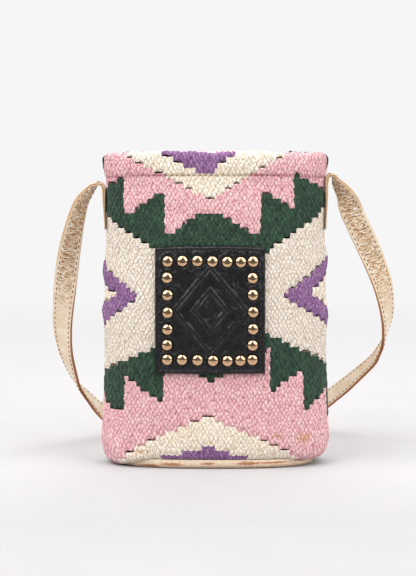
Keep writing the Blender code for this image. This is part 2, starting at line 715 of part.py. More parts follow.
def smooth_route(route, parts):
    # Smooth curve through the route, with a width direction square to it at each point
    curve = smooth_line([place for place, edge in route], parts)
    widths = smooth_line([edge for place, edge in route], parts)
    along = np.gradient(curve, axis=0)
    along /= np.linalg.norm(along, axis=1)[:, None]
    widths -= along * (widths * along).sum(axis=1)[:, None]
    widths /= np.linalg.norm(widths, axis=1)[:, None]
    return curve, widths, np.cross(along, widths)


def add_strap_ply(name, near, far, finish):
    # Flat ribbon between two distances from the middle of the strap, cut into triangles the
    # same way on every face so that two twisted plies stay parallel
    curve, widths, normals = smooth_route(strap_route(), 2)
    half = STRAP_WIDTH / 2
    points = []
    for place, width, normal in zip(curve, widths, normals):
        for out, side in ((near, -1), (near, 1), (far, -1), (far, 1)):
            points.append(place + normal * out + width * half * side)
    faces = [(0, 1, 3, 2)]
    for index in range(len(curve) - 1):
        low = index * 4
        for first, second in ((0, 1), (2, 3), (0, 2), (1, 3)):
            faces.append((low + first, low + second, low + 4 + second))
            faces.append((low + first, low + 4 + second, low + 4 + first))
    last = (len(curve) - 1) * 4
    faces.append((last, last + 1, last + 3, last + 2))
    ply = link(name, mesh_from(name, points, faces), finish)
    ply.data.shade_smooth()
    ply.data.set_sharp_from_angle(angle=radians(50))
    return ply


def add_strap():
    gold = material("gold_leather", (0.62, 0.45, 0.27, 1), 0.35, 0.6)
    add_strap_ply("strap_back_ply", GAP / 2, STRAP_HALF, gold)
    add_strap_ply("strap_face_ply", -STRAP_HALF, -GAP / 2, gold)


clear_scene()
add_panel("front_panel", -1, 0)
add_panel("back_panel", 1, BACK_SHIFT)
add_lining()
add_base()
add_patch()
add_studs()
add_strap()
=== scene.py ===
from math import cos, pi, radians, sin

import bmesh
import bpy
import numpy as np
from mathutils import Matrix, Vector


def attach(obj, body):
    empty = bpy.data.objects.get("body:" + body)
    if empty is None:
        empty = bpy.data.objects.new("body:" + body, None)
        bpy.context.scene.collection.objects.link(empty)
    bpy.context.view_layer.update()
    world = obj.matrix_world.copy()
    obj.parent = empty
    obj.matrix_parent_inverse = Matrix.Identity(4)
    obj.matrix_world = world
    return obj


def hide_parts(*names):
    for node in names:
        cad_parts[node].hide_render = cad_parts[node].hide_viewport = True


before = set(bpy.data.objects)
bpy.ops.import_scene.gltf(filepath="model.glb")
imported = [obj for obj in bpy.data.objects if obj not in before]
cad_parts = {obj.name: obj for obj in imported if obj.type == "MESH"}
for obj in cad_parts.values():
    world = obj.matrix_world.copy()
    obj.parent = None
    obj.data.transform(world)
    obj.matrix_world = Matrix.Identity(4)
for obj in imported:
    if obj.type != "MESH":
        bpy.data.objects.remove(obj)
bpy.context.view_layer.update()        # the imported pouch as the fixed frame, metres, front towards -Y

mm = 0.001
chance = np.random.RandomState(7)  # one fixed seed, so every run weaves the same cloth


# Camera at the photo's angle, about 1.1 m off and looking down 6 degrees

cameraSetup = {
    "from": (-5.1, -1122, 240.7),  # mm
    "at": (-5.1, -28, 125.7),
    "lens": 101,  # mm on a 36 mm long side
}


def addCamera():
    lensData = bpy.data.cameras.new("camera")
    lensData.lens = cameraSetup["lens"]
    lensData.clip_end = 20
    camera = bpy.data.objects.new("camera", lensData)
    camera.location = Vector(cameraSetup["from"]) * mm
    towards = Vector(cameraSetup["at"]) * mm - camera.location
    camera.rotation_euler = towards.to_track_quat("-Z", "Y").to_euler()
    bpy.context.collection.objects.link(camera)
    bpy.context.scene.camera = camera


# Shared helpers

def linearColour(hexText):
    channels = [int(hexText[start:start + 2], 16) / 255 for start in (0, 2, 4)]
    return tuple(c / 12.92 if c <= 0.04045 else ((c + 0.055) / 1.055) ** 2.4 for c in channels) + (1,)


def addNode(tree, kind, settings=None, inputs=None, stops=None):
    # inputs take a value, a node (its first output) or a node's socket; stops are a ramp's colours
    node = tree.nodes.new("ShaderNode" + kind)
    for name, value in (settings or {}).items():
        setattr(node, name, value)
    for name, value in (inputs or {}).items():
        if isinstance(value, bpy.types.Node):
            tree.links.new(value.outputs[0], node.inputs[name])
        elif isinstance(value, bpy.types.NodeSocket):
            tree.links.new(value, node.inputs[name])
        else:
            node.inputs[name].default_value = value
    if stops:
        ramp = node.color_ramp.elements
        while len(ramp) < len(stops):
            ramp.new(0.5)
        for element, (place, colour) in zip(ramp, stops):
            element.position = place
            element.color = linearColour(colour) if isinstance(colour, str) else (colour,) * 3 + (1,)
    return node


def startMaterial(name):
    made = bpy.data.materials.new(name)
    made.use_nodes = True
    made.node_tree.nodes.clear()
    return made, made.node_tree


def finishMaterial(made, shader):
    addNode(made.node_tree, "OutputMaterial", {}, {"Surface": shader})
    return made


def objectPlace(tree, scale=(1, 1, 1), turn=(0, 0, 0)):
    # Object coordinates in millimetres, stretched and turned
    place = addNode(tree, "TexCoord")
    size = tuple(part / mm for part in scale)
    return addNode(tree, "Mapping", {}, {
        "Vector": place.outputs["Object"], "Scale": size, "Rotation": turn})


def spotReach(tree, x, z, halfX, halfZ):
    # Distance on the front from the middle of an oval spot in mm, 1 at the spot's rim
    ground = addNode(tree, "TexCoord")
    off = addNode(tree, "VectorMath", {"operation": "SUBTRACT"}, {
        0: ground.outputs["Object"], 1: (x * mm, 0, z * mm)})
    ratio = addNode(tree, "VectorMath", {"operation": "MULTIPLY"}, {
        0: off, 1: (1 / (halfX * mm), 0, 1 / (halfZ * mm))})
    return addNode(tree, "VectorMath", {"operation": "LENGTH"}, {0: ratio}).outputs["Value"]


def makePiece(name, points, faces, finishes, faceFinish=None, values=None):
    mesh = bpy.data.meshes.new(name)
    mesh.from_pydata([tuple(point) for point in points], [], faces)
    for finish in finishes:
        mesh.materials.append(finish)
    if faceFinish is not None:
        mesh.polygons.foreach_set("material_index", np.array(faceFinish, dtype=np.int32))
    for key, numbers in (values or {}).items():
        numbers = np.asarray(numbers, dtype=np.float32)
        kind, slot = ("FLOAT", "value") if numbers.ndim == 1 else ("FLOAT_VECTOR", "vector")
        mesh.attributes.new(key, kind, "POINT").data.foreach_set(slot, numbers.ravel())
    build = bmesh.new()
    build.from_mesh(mesh)
    bmesh.ops.recalc_face_normals(build, faces=build.faces)
    build.to_mesh(mesh)
    build.free()
    mesh.polygons.foreach_set("use_smooth", np.full(len(mesh.polygons), True))
    mesh.update()
    piece = bpy.data.objects.new(name, mesh)
    bpy.context.collection.objects.link(piece)
    return piece


def gridFaces(rows, columns, first=0):
    # Quads between neighbouring rows of points, each row with the same number of columns
    corner = first + np.arange(rows - 1)[:, None] * columns + np.arange(columns - 1)[None, :]
    corner = corner.ravel()
    return np.stack([corner, corner + 1, corner + columns + 1, corner + columns], axis=1)


def tubeFaces(rings, count, first=0):
    # Quads between neighbouring closed rings, each ring with the same number of points
    faces = []
    for low in range(first, first + (rings - 1) * count, count):
        for index in range(count):
            after = (index + 1) % count
            faces.append((low + index, low + after, low + count + after, low + count + index))
    return faces


def seat(piece, node):
    # The piece stands for its node and moves with the pouch, which is one rigid body
    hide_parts(node)
    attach(piece, "root")
    return piece


# Pouch form in mm: the solid model's sizes, with the pinches at neck and mouth as the photo shows them

pouch = {
    "height": 217, "width": 159, "bellyDepth": 59, "waistDepth": 46, "neckDepth": 38, "mouthDepth": 37,
    "bellyHeight": 21, "waistHeight": 158, "squareness": 2.6,
    "waistPinch": 8, "shoulderPinch": 7, "neckPinch": 8, "mouthPinch": 6.2,  # taken off the width there
    "cloth": 2.6, "hem": 18, "hemSlit": 1.5, "gap": 0.35,
    "baseLength": 139, "baseDepth": 55, "baseHeight": 6.5, "baseLeather": 1.6, "baseRound": 3.6,
    "baseLip": 0.4,
}
rollStart = pouch["baseHeight"] + pouch["gap"]
foldRadius = pouch["cloth"] + pouch["hemSlit"] / 2
foldCentre = pouch["height"] - foldRadius
hemFoot = pouch["height"] - pouch["hem"]
neckHeight = hemFoot - 2
tuckLength = pouch["baseLength"] / 2 - pouch["baseLeather"] - pouch["gap"]  # half sizes inside the tray
tuckDepth = pouch["baseDepth"] / 2 - pouch["baseLeather"] - pouch["gap"]
tuckFoot = pouch["baseLeather"] + pouch["gap"]
waistHalf = (pouch["width"] - pouch["waistPinch"]) / 2
lipHalf = (pouch["width"] - pouch["mouthPinch"]) / 2
pouchStations = [
    (pouch["bellyHeight"], pouch["width"] / 2, pouch["bellyDepth"] / 2),
    (pouch["bellyHeight"] * 3, pouch["width"] / 2 - 2.3, pouch["bellyDepth"] / 2 - 1.2),
    (110, pouch["width"] / 2 - 2.5, (pouch["bellyDepth"] + pouch["waistDepth"]) / 4 + 1),
    (pouch["waistHeight"], waistHalf, pouch["waistDepth"] / 2),
    ((pouch["waistHeight"] + neckHeight) / 2 + 6, (pouch["width"] - pouch["shoulderPinch"]) / 2,
     (pouch["waistDepth"] + pouch["neckDepth"]) / 4),
    (neckHeight, (pouch["width"] - pouch["neckPinch"]) / 2, pouch["neckDepth"] / 2),
    (pouch["height"] - pouch["hem"] / 2, lipHalf, pouch["mouthDepth"] / 2 + 0.4),
    (pouch["height"], lipHalf, pouch["mouthDepth"] / 2),
]
# Soft hollows (-) and swells of the front as (x, z, half width, half height, outward), mm
frontForm = [
    (29.5, 37, 3.2, 22, -1.1), (38, 40, 6, 24, 0.6), (-52, 150, 14, 30, -0.8), (54, 110, 12, 30, -0.7),
    (-56, 60, 16, 26, 0.6), (0, 30, 30, 12, 0.5), (52, 176, 16, 10, -0.7), (-20, 178, 22, 9, -0.5),
    (-60, 205, 12, 9, 0.7), (18, 209, 26, 7, 0.5), (60, 204, 10, 10, 0.6), (-38, 24, 16, 9, -0.5),
]

# Slack swells of the cloth at its side seams as (left or right, z, half height, outward), mm
seamForm = [
    (-1, 136, 8, 2.3), (-1, 108, 8, 1.8), (-1, 120, 4, -0.6),
    (1, 144, 9, 2.4), (1, 104, 8, 1.6), (1, 52, 16, 0.8),
]


def smoothAt(stations, heights):
    # Hermite curve through the stations, for many heights at once
    table = np.array(stations, dtype=float)
    keys, sizes = table[:, 0], table[:, 1:]
    order = np.arange(len(keys))
    low, high = np.maximum(order - 1, 0), np.minimum(order + 1, len(keys) - 1)
    slopes = (sizes[high] - sizes[low]) / (keys[high] - keys[low])[:, None]
    index = np.clip(np.searchsorted(keys, heights) - 1, 0, len(keys) - 2)
    span = (keys[index + 1] - keys[index])[..., None]
    t = np.clip((heights - keys[index])[..., None] / span, 0, 1)
    return ((2 * t**3 - 3 * t**2 + 1) * sizes[index] + (t**3 - 2 * t**2 + t) * span * slopes[index]
            + (3 * t**2 - 2 * t**3) * sizes[index + 1] + (t**3 - t**2) * span * slopes[index + 1])


def clothSize(heights, inward=0.0):
    heights = np.asarray(heights, dtype=float)
    sizes = smoothAt(pouchStations, heights)
    start = rollStart + inward
    share = np.clip((pouch["bellyHeight"] - heights) / (pouch["bellyHeight"] - start), 0, 1)
    swell = np.sqrt(1 - share**2)
    rolled = heights < pouch["bellyHeight"]
    halfWidth = (pouch["baseLength"] + swell * (pouch["width"] - pouch["baseLength"])) / 2
    halfDepth = (pouch["baseDepth"] + swell * (pouch["bellyDepth"] - pouch["baseDepth"])) / 2
    halfWidth = np.where(rolled, halfWidth, sizes[..., 0]) - inward
    halfDepth = np.where(rolled, halfDepth, sizes[..., 1]) - inward
    return halfWidth, halfDepth


def planAngles(shares):
    # Angle round the front half of the plan at shares 0 to 1 of its length
    fine = np.linspace(0, pi, 1441)
    power = 2 / pouch["squareness"]
    x = -np.sign(np.cos(fine)) * np.abs(np.cos(fine)) ** power * pouch["width"] / 2
    y = np.abs(np.sin(fine)) ** power * pouch["bellyDepth"] / 2
    run = np.concatenate([[0], np.cumsum(np.hypot(np.diff(x), np.diff(y)))])
    return np.interp(shares * run[-1], run, fine)


def planPoint(angles, halfWidth, halfDepth):
    # Place and outward direction in plan, with y counted outward from the side seams
    power = 2 / pouch["squareness"]
    x = -halfWidth * np.sign(np.cos(angles)) * np.abs(np.cos(angles)) ** power
    y = halfDepth * np.abs(np.sin(angles)) ** power
    outX = np.sign(x) * np.abs(x / halfWidth) ** (pouch["squareness"] - 1) / halfWidth
    outY = (y / halfDepth) ** (pouch["squareness"] - 1) / halfDepth
    length = np.hypot(outX, outY)
    return x, y, outX / length, outY / length


def formAt(x, z):
    # How far the front stands out from its even form at x and z
    outward = np.zeros(np.broadcast(x, z).shape)
    for centreX, centreZ, halfX, halfZ, height in frontForm:
        outward += height * np.exp(-((x - centreX) / halfX) ** 2 - ((z - centreZ) / halfZ) ** 2)
    return outward


def frontY(x, z, standoff=0.0):
    # Depth of the front face in mm, moved out by standoff
    halfWidth, halfDepth = clothSize(z)
    power = pouch["squareness"]
    return -halfDepth * (1 - np.minimum(np.abs(x) / halfWidth, 1) ** power) ** (1 / power) - standoff


# Slit tapestry: warps lie level, picks run up and down, and each grain is one pick over a warp

weave = {
    "warps": 64, "picksToSeam": 46, "patternPicks": 2, "backShift": -8,
    "grainWidth": 0.74, "grainLength": 1.12,  # half sizes, in picks and warps
    "grainLeast": 0.86, "grainVary": 0.28, "grainDrift": 0.16,
    "relief": 1.15, "sink": 0.6, "seamSink": 0.3, "seamPicks": 1.5, "tabPress": 0.15, "steepest": 1.5,
    "hemLine": 202.0, "hemLineDrop": 2.2, "hemGroove": 0.6, "hemGrooveWidth": 0.7,
    "hemPuff": 0.2, "hemPuffHigh": 9,
    "rimWave": 0.7, "rimRise": 1.0, "rimDrop": 3.2, "backDrop": 1.2, "backRim": 2.6,
    "slitDepth": 1.6, "slitOpen": 0.075, "slitInset": 0.55, "slitsShut": 0.5,
    "sagLeft": 6.0, "sagRight": 2.4, "sagFrom": 42, "sagFull": 70, "sagHigh": 4,  # at the tray's ends
    "overlap": 1.6,
    "stitchLength": 1.9, "stitchWidth": 0.5, "stitchRise": 0.2, "stitchSink": 0.55, "stitchStep": 0.023,
}
# Waves of the rim as (share, turn per mm, start, start for each side)
rimWaves = [(1, 0.115, 0, 1.2), (0.6, 0.29, -0.8, 0), (0.4, 0.61, 0, 1)]
warpPitch = pouch["height"] / weave["warps"]
foldWarp = foldCentre / warpPitch
foldWarps = pi * foldRadius / warpPitch
yarnNames = ["pink", "green", "purple", "cream", "oatmeal"]
# Each edge is the lower limit of its colour, as (pick, warp) corners
topFields = [
    ("purple", [(-20.5, 64.3), (-2.4, 59.9), (0.9, 59.9), (2.2, 61.2), (11.5, 64.3)]),
    ("cream", [(-33.5, 64.5), (-1, 55.2), (1.4, 55.2), (28.5, 64.3)]),
    ("pink", [
        (-48, 55.6), (-32.1, 58.8), (-31.1, 58.8), (-31, 51.6), (-28.5, 51.9), (-18.2, 56.3), (-15.6, 56.3),
        (-15.5, 47.8), (-14, 47.8), (-6, 51.2), (-1.2, 52.3), (2, 52.3), (16, 48), (18.4, 48), (18.5, 56),
        (20.3, 56), (28.3, 53.3), (30.1, 53.3), (30.2, 59.6), (31.6, 59.6), (48, 55.6)]),
]
footFields = [
    ("purple", [
        (-18.5, 1.7), (-17, 3), (-3, 4), (-2.3, 5.1), (1.6, 5), (2.5, 4), (13, 2.9), (17, 1.7)]),
    ("cream", [(-48, -2.3), (-34, 2.6), (-1, 10.9), (1.6, 10.9), (3, 10), (31, 2.8), (48, -1.6)]),
    ("pink", [
        (-48, 17.3), (-34, 11.5), (-30.2, 11.5), (-30.1, 18.9), (-18.2, 14.5), (-15.6, 14.5),
        (-15.5, 23.4), (-1, 18.5), (2, 18.5), (21.4, 24.9), (21.5, 16.1), (31, 19.6), (32.9, 19.9),
        (33, 12.3), (35, 12.4), (44, 16.4), (44.2, 10.4), (48, 10.4)]),
]
middleEdges = {
    "shoulder": [(-48, 52.5), (-40, 51.5), (-19.5, 44.6), (0, 38.5), (19, 43.9), (48, 54.6)],
    "starTop": [(-48, 44.5), (-26.5, 36), (27, 36), (48, 44.5)],
    "starFoot": [(-48, 25.9), (-26.5, 34.5), (27, 35), (48, 27.9)],
    "notchTop": [(-48, 39.6), (-34.5, 35.6), (36.5, 36.2), (48, 40)],
    "notchFoot": [(-48, 31.6), (-34.5, 35.1), (36.5, 35.7), (48, 31.9)],
    "oatmealFoot": [(-48, 18.6), (-38.7, 20), (-19.7, 24.8), (0, 29.9), (19.3, 28), (48, 20.2)],
}
starInner, notchInner = 26, 34


def stairLevel(edge, pick):
    picks, warps = zip(*edge)
    return round(float(np.interp(pick, picks, warps, left=-99, right=-99)))


def yarnAt(pick, warp):
    for yarn, edge in topFields:
        level = stairLevel(edge, pick)
        if level > 0 and warp >= level:
            return yarn
    for yarn, edge in footFields:
        if warp < stairLevel(edge, pick):
            return yarn
    level = {name: stairLevel(edge, pick) for name, edge in middleEdges.items()}
    if warp >= level["shoulder"] or warp < level["oatmealFoot"]:
        return "green"
    if abs(pick) > notchInner and level["notchFoot"] <= warp < level["notchTop"]:
        return "cream"
    inStar = level["starFoot"] <= warp < level["starTop"]
    return "purple" if inStar and abs(pick) > starInner else "oatmeal"


def yarnPlan(firstPick, pickCount, warpCount, shift):
    # Number of the yarn at each pick and warp; past the mouth the top colours run over the hem
    plan = np.zeros((pickCount, warpCount), dtype=int)
    for column in range(pickCount):
        for warp in range(warpCount):
            own = min(warp, weave["warps"] - 1) + shift
            plan[column, warp] = yarnNames.index(yarnAt(firstPick + column + 0.5, own))
    return plan


def grainField(picks, warps, firstPick, plan, sizes, drift):
    # Height 0 to 1 of the woven grains, and the yarn on top, at many places at once
    column = np.clip(np.floor(picks - firstPick).astype(int), 0, plan.shape[0] - 1)
    row = np.clip(np.floor(warps).astype(int), 0, plan.shape[1] - 1)
    height = np.zeros(picks.shape)
    owner = plan[column, row]
    for aside in (-1, 0, 1):
        for above in (-1, 0, 1):
            c, r = column + aside, row + above
            inside = (c >= 0) & (c < plan.shape[0]) & (r >= 0) & (r < plan.shape[1]) & ((c + r) % 2 == 0)
            c, r = np.clip(c, 0, plan.shape[0] - 1), np.clip(r, 0, plan.shape[1] - 1)
            inside &= plan[c, r] == plan[c, row]  # a pick turns back at the slit
            across = (picks - firstPick - c - 0.5 - drift[c, r]) / weave["grainWidth"]
            along = (warps - r - 0.5) / weave["grainLength"]
            here = np.sqrt(np.maximum(1 - across**2 - along**2, 0)) * sizes[c, r]
            wins = inside & (here > height)
            height = np.where(wins, here, height)
            owner = np.where(wins, plan[c, r], owner)
    return height, owner


def hemLevel(across):
    return weave["hemLine"] - weave["hemLineDrop"] * across**2


def findSlits(plan):
    # Level edges between two colours as (warp, first pick, one past the last pick)
    slits = []
    for warp in range(4, weave["warps"]):
        changed = plan[:, warp - 1] != plan[:, warp]
        edges = np.flatnonzero(np.diff(np.concatenate([[False], changed, [False]]).astype(int)))
        slits += [(warp, start, end) for start, end in edges.reshape(-1, 2) if end - start >= 2]
    return slits


def panelSection(warps):
    # Up the face, over the lip and down inside to the hem's foot, and which way is out at each level
    turn = np.clip((warps - foldWarp) / foldWarps, 0, 1) * pi
    past = np.maximum(warps - foldWarp - foldWarps, 0) * warpPitch
    straight = warps <= foldWarp
    heights = np.where(straight, warps * warpPitch, foldCentre + foldRadius * np.sin(turn) - past)
    inward = foldRadius * (1 - np.cos(turn))
    halfWidth, halfDepth = clothSize(np.where(straight, heights, np.maximum(foldCentre - past, hemFoot)))
    step = 0.5
    slope = (clothSize(heights + step)[1] - clothSize(heights - step)[1]) / (2 * step)
    slope = np.where(straight, slope, 0)
    slope = np.where(heights < pouch["bellyHeight"], np.minimum(slope, weave["steepest"]), slope)
    outShare = np.cos(turn) / np.hypot(1, slope)
    upShare = np.sin(turn) - slope * outShare
    return heights, turn, straight, halfWidth - inward, halfDepth - inward, outShare, upShare


def woolRelief(height, x, y, z, across, fromFoot, onFace, side):
    # How far the wool stands out at each place, and where the hem's row of stitches pulls it in
    nearSeam = np.clip((1 - np.abs(across)) * weave["picksToSeam"] / weave["seamPicks"], 0, 1)
    nearFoot = np.clip(fromFoot, 0, 1)
    relief = (weave["relief"] * height - weave["sink"]) * nearSeam * nearFoot
    relief -= weave["seamSink"] * (1 - nearSeam) ** 2
    underTab = (y < strap["width"] / 2 + 1.5) & (z > strap["tabFoot"] - 2) & (z < strap["tabTopRight"] + 3)
    relief = np.where(underTab, weave["tabPress"], relief)
    overHem = z - hemLevel(across)
    crease = np.where(onFace, np.exp(-(overHem / weave["hemGrooveWidth"]) ** 2) * nearSeam, 0)
    puff = np.sin(pi * np.clip(overHem / weave["hemPuffHigh"], 0, 1)) * nearSeam
    form = formAt(x * -side, z) * nearSeam * nearFoot
    relief += np.where(onFace, weave["hemPuff"] * puff + form, 0) - weave["hemGroove"] * crease
    return relief, crease


def hangSlack(x, z, across, onFace, turn, side):
    # The cloth swells at its side seams and its rim waves, lower at both ends
    for end, level, halfHeight, outward in seamForm:
        swell = outward * np.exp(-((z - level) / halfHeight) ** 2) * np.abs(across) ** 5
        x = x + np.where(onFace & (np.sign(x) == end), end * swell, 0)
    rim = np.clip((z - hemFoot) / pouch["hem"], 0, 1)
    wave = sum(share * np.sin(x * pace + start + side * own) for share, pace, start, own in rimWaves)
    slack = weave["rimWave"] * wave + weave["rimRise"] - weave["rimDrop"] * across**6
    if side > 0:
        slack = slack - weave["backDrop"] * (1 - across**6)
    z = z + slack * rim * np.where(onFace, 1, np.cos(turn / 2)[:, None])
    if side > 0:
        x = x + np.sign(x) * weave["backRim"] * rim * np.abs(across) ** 8
    return x, z


def overlapTray(x, y, z, outX, outY, onFace):
    # The belly hangs a little over both ends of the tray
    endShare = np.clip((np.abs(x) - weave["sagFrom"]) / (weave["sagFull"] - weave["sagFrom"]), 0, 1)
    endShare = endShare * endShare * (3 - 2 * endShare)
    top = pouch["bellyHeight"] + weave["sagHigh"]
    low = np.where(onFace, np.clip((top - z) / (top - rollStart), 0, 1), 0)
    sag = endShare * np.where(x < 0, weave["sagLeft"], weave["sagRight"])
    covers = np.clip(sag / 1.5, 0, 1)
    outward = weave["overlap"] * covers * low**2
    return x + outX * outward, y + outY * outward, z - sag * low**1.3, covers[0]


def openSlits(z, plan, warps, perPick):
    # Slits open a little in their middle, and each open one is listed as (row, first and last column)
    grooves = []
    for warp, start, end in findSlits(plan):
        openness = chance.rand()
        lower = int(np.flatnonzero(np.isclose(warps, warp - 0.1))[0])
        first = max(round((start + weave["slitInset"]) * perPick), 6)
        last = min(round((end - weave["slitInset"]) * perPick), z.shape[1] - 7)
        if openness < weave["slitsShut"] or last - first < 2:
            continue
        lens = np.sin(np.linspace(0, pi, last - first + 1)) * weave["slitOpen"] * openness * warpPitch
        z[lower, first:last + 1] -= lens
        z[lower + 1, first:last + 1] += lens
        grooves.append((lower, first, last))
    return grooves


def hiddenRows():
    # Inner run of the cloth as (height, half width, half depth), from the hem's foot to the tucked edge
    cloth, slitBack = pouch["cloth"], pouch["cloth"] + pouch["hemSlit"]
    levels = [(hemFoot, slitBack + cloth), (hemFoot, slitBack), (foldCentre, slitBack)]
    levels += [(foldCentre + 0.7, cloth + 0.75), (foldCentre, cloth)]
    levels += [(level, cloth) for level in np.linspace(hemFoot, pouch["bellyHeight"], 8)]
    rollHeight = pouch["bellyHeight"] - rollStart - cloth
    levels += [(pouch["bellyHeight"] - rollHeight * cos(radians(turn)), cloth) for turn in (50, 20)]
    rows = [(level, *clothSize(level, inward)) for level, inward in levels]
    rows += [(level, tuckLength - cloth, tuckDepth - cloth) for level in (rollStart + cloth, tuckFoot)]
    return rows + [(level, tuckLength, tuckDepth) for level in (tuckFoot, rollStart)]


def cutPockets(grooves, points, into, lattice, columns, finish):
    # Each open slit is a narrow pocket down through the cloth, dark at its bottom
    keep = np.ones(len(finish), dtype=bool)
    newPoints, newFaces, newFinish, newLattice = [], [], [], []
    dark = len(yarnNames)
    for lower, first, last in grooves:
        base = len(points) + len(newPoints)
        count = last - first + 1
        for row in (lower, lower + 1):
            for column in range(first, last + 1):
                newPoints.append(points[row * columns + column] - into[row, column])
                newLattice.append(lattice[row * columns + column])
        for index in range(count - 1):
            top, under = lower * columns + first + index, base + index
            face = lower * (columns - 1) + first + index
            keep[face] = False
            newFaces += [(top, top + 1, under + 1, under),
                         (top + columns, top + columns + 1, under + count + 1, under + count),
                         (under, under + 1, under + count + 1, under + count)]
            newFinish += [finish[face], finish[face], dark]
        for column, under in ((first, base), (last, base + count - 1)):
            top = lower * columns + column
            newFaces.append((top, top + columns, under + count, under))
            newFinish.append(dark)
    newPoints, newLattice = (np.array(rows).reshape(-1, 3) for rows in (newPoints, newLattice))
    return keep, newPoints, newFaces, newFinish, newLattice


def addPanel(name, side, shift, yarnFinishes, insideFinish):
    perPick = 4
    firstPick = weave["patternPicks"] - weave["picksToSeam"]
    pickCount = 2 * weave["picksToSeam"]
    columns = pickCount * perPick + 1
    picks = firstPick + np.arange(columns) / perPick
    across = ((picks - weave["patternPicks"]) / weave["picksToSeam"])[None, :]
    angles = planAngles((across[0] + 1) / 2)
    lastWarp = int(foldWarp + foldWarps + (foldCentre - hemFoot) / warpPitch)
    warps = np.array([warp + step for warp in range(2, lastWarp) for step in (0.1, 0.5, 0.9)])
    warps[0] = rollStart / warpPitch + 0.02
    heights, turn, straight, halfWidth, halfDepth, outShare, upShare = panelSection(warps)
    onFace = straight[:, None]

    plan = yarnPlan(firstPick, pickCount, lastWarp + 1, shift)
    sizes = weave["grainLeast"] + weave["grainVary"] * chance.rand(*plan.shape)
    drift = weave["grainDrift"] * (chance.rand(*plan.shape) - 0.5)
    gridPicks, gridWarps = np.meshgrid(picks, warps)
    height, _ = grainField(gridPicks, gridWarps, firstPick, plan, sizes, drift)

    x, y, outX, outY = planPoint(angles[None, :], halfWidth[:, None], halfDepth[:, None])
    z = np.repeat(heights[:, None], columns, axis=1)
    relief, crease = woolRelief(height, x, y, z, across, gridWarps - warps[0], onFace, side)
    x = x + relief * outX * outShare[:, None]
    y = y + relief * outY * outShare[:, None]
    z = z + relief * upShare[:, None]
    x, z = hangSlack(x, z, across, onFace, turn, side)
    x, y, z, covers = overlapTray(x, y, z, outX, outY, onFace)
    footZ = z[0].copy()
    grooves = openSlits(z, plan, warps, perPick)

    for level, width, depth in hiddenRows():
        rowX, rowY, _, _ = planPoint(angles, width, depth)
        x, y = np.vstack([x, rowX]), np.vstack([y, rowY])
        z = np.vstack([z, np.full(columns, level)])
    # Back of the part that overlaps the tray, up to the tray's edge
    rowX, rowY, footX, footY = planPoint(angles, *clothSize(rollStart))
    behind = (weave["overlap"] - 0.6) * covers
    for level in (rollStart, footZ):
        x, y = np.vstack([x, rowX + footX * behind]), np.vstack([y, rowY + footY * behind])
        z = np.vstack([z, np.broadcast_to(level, (columns,))])
    y = np.maximum(y, pouch["gap"] / 2)
    points = np.stack([x, side * y, z], axis=-1).reshape(-1, 3) * mm
    rows = len(x)
    faces = gridFaces(rows, columns)

    middlePicks, middleWarps = np.meshgrid((picks[1:] + picks[:-1]) / 2, (warps[1:] + warps[:-1]) / 2)
    _, faceOwner = grainField(middlePicks, middleWarps, firstPick, plan, sizes, drift)
    finish = np.concatenate([faceOwner.ravel(), np.full(len(faces) - faceOwner.size, len(yarnNames))])
    inner = (rows - len(warps)) * columns
    # grain is lowered along the hem's crease, where the wool's colour reads it as painted shade
    grain = np.concatenate([(1 - 0.8 * crease).ravel(), np.ones(inner)])
    lattice = np.stack([(gridPicks + gridWarps) / 2, (gridPicks - gridWarps) / 2, 0 * gridPicks], axis=-1)
    lattice = np.vstack([lattice.reshape(-1, 3), np.zeros((inner, 3))])

    into = np.stack([outX, side * outY, 0 * outX], axis=-1) * weave["slitDepth"] * mm
    keep, newPoints, newFaces, newFinish, newLattice = cutPockets(
        grooves, points, into, lattice, columns, finish)
    foot = (rows - 1) * columns
    joins = [(foot + column, foot + column + 1, column + 1, column) for column in range(columns - 1)]
    ends = [tuple(row * columns + end for row in range(rows)) for end in (0, columns - 1)]
    faces = [tuple(face) for face in faces[keep].tolist()] + newFaces + joins + ends
    finish = np.concatenate([finish[keep], newFinish, np.full(len(joins) + 2, len(yarnNames))])
    points = np.vstack([points, newPoints])
    # The slits' bottom points get grain 0, so the wool walls of each slit darken downwards as painted shade
    grain = np.concatenate([grain, np.zeros(len(newPoints))])
    values = {"grain": grain, "lattice": np.vstack([lattice, newLattice])}
    return makePiece(name, points, faces, [*yarnFinishes, insideFinish], finish, values=values)


# Finishes

yarnColours = {  # painted shade between the grains and in creases, usual, and light, mixed with the usual at random on each grain
    "pink": ("9A525C", "E6A4AA", "F9D3D5"),
    "green": ("020503", "0C2116", "395E46"),
    "purple": ("371C41", "805284", "AA7FAD"),
    "cream": ("BFA67F", "EFDFCA", "FCF3E6"),
    "oatmeal": ("B09B80", "E3D4C2", "F3EADF"),
}
rubbedPlaces = [(61, 21, 13, 9), (43, 24, 9, 5), (-52, 12, 10, 4)]  # ochre rub marks: x, z, half sizes, mm
colourMix = {"data_type": "RGBA"}


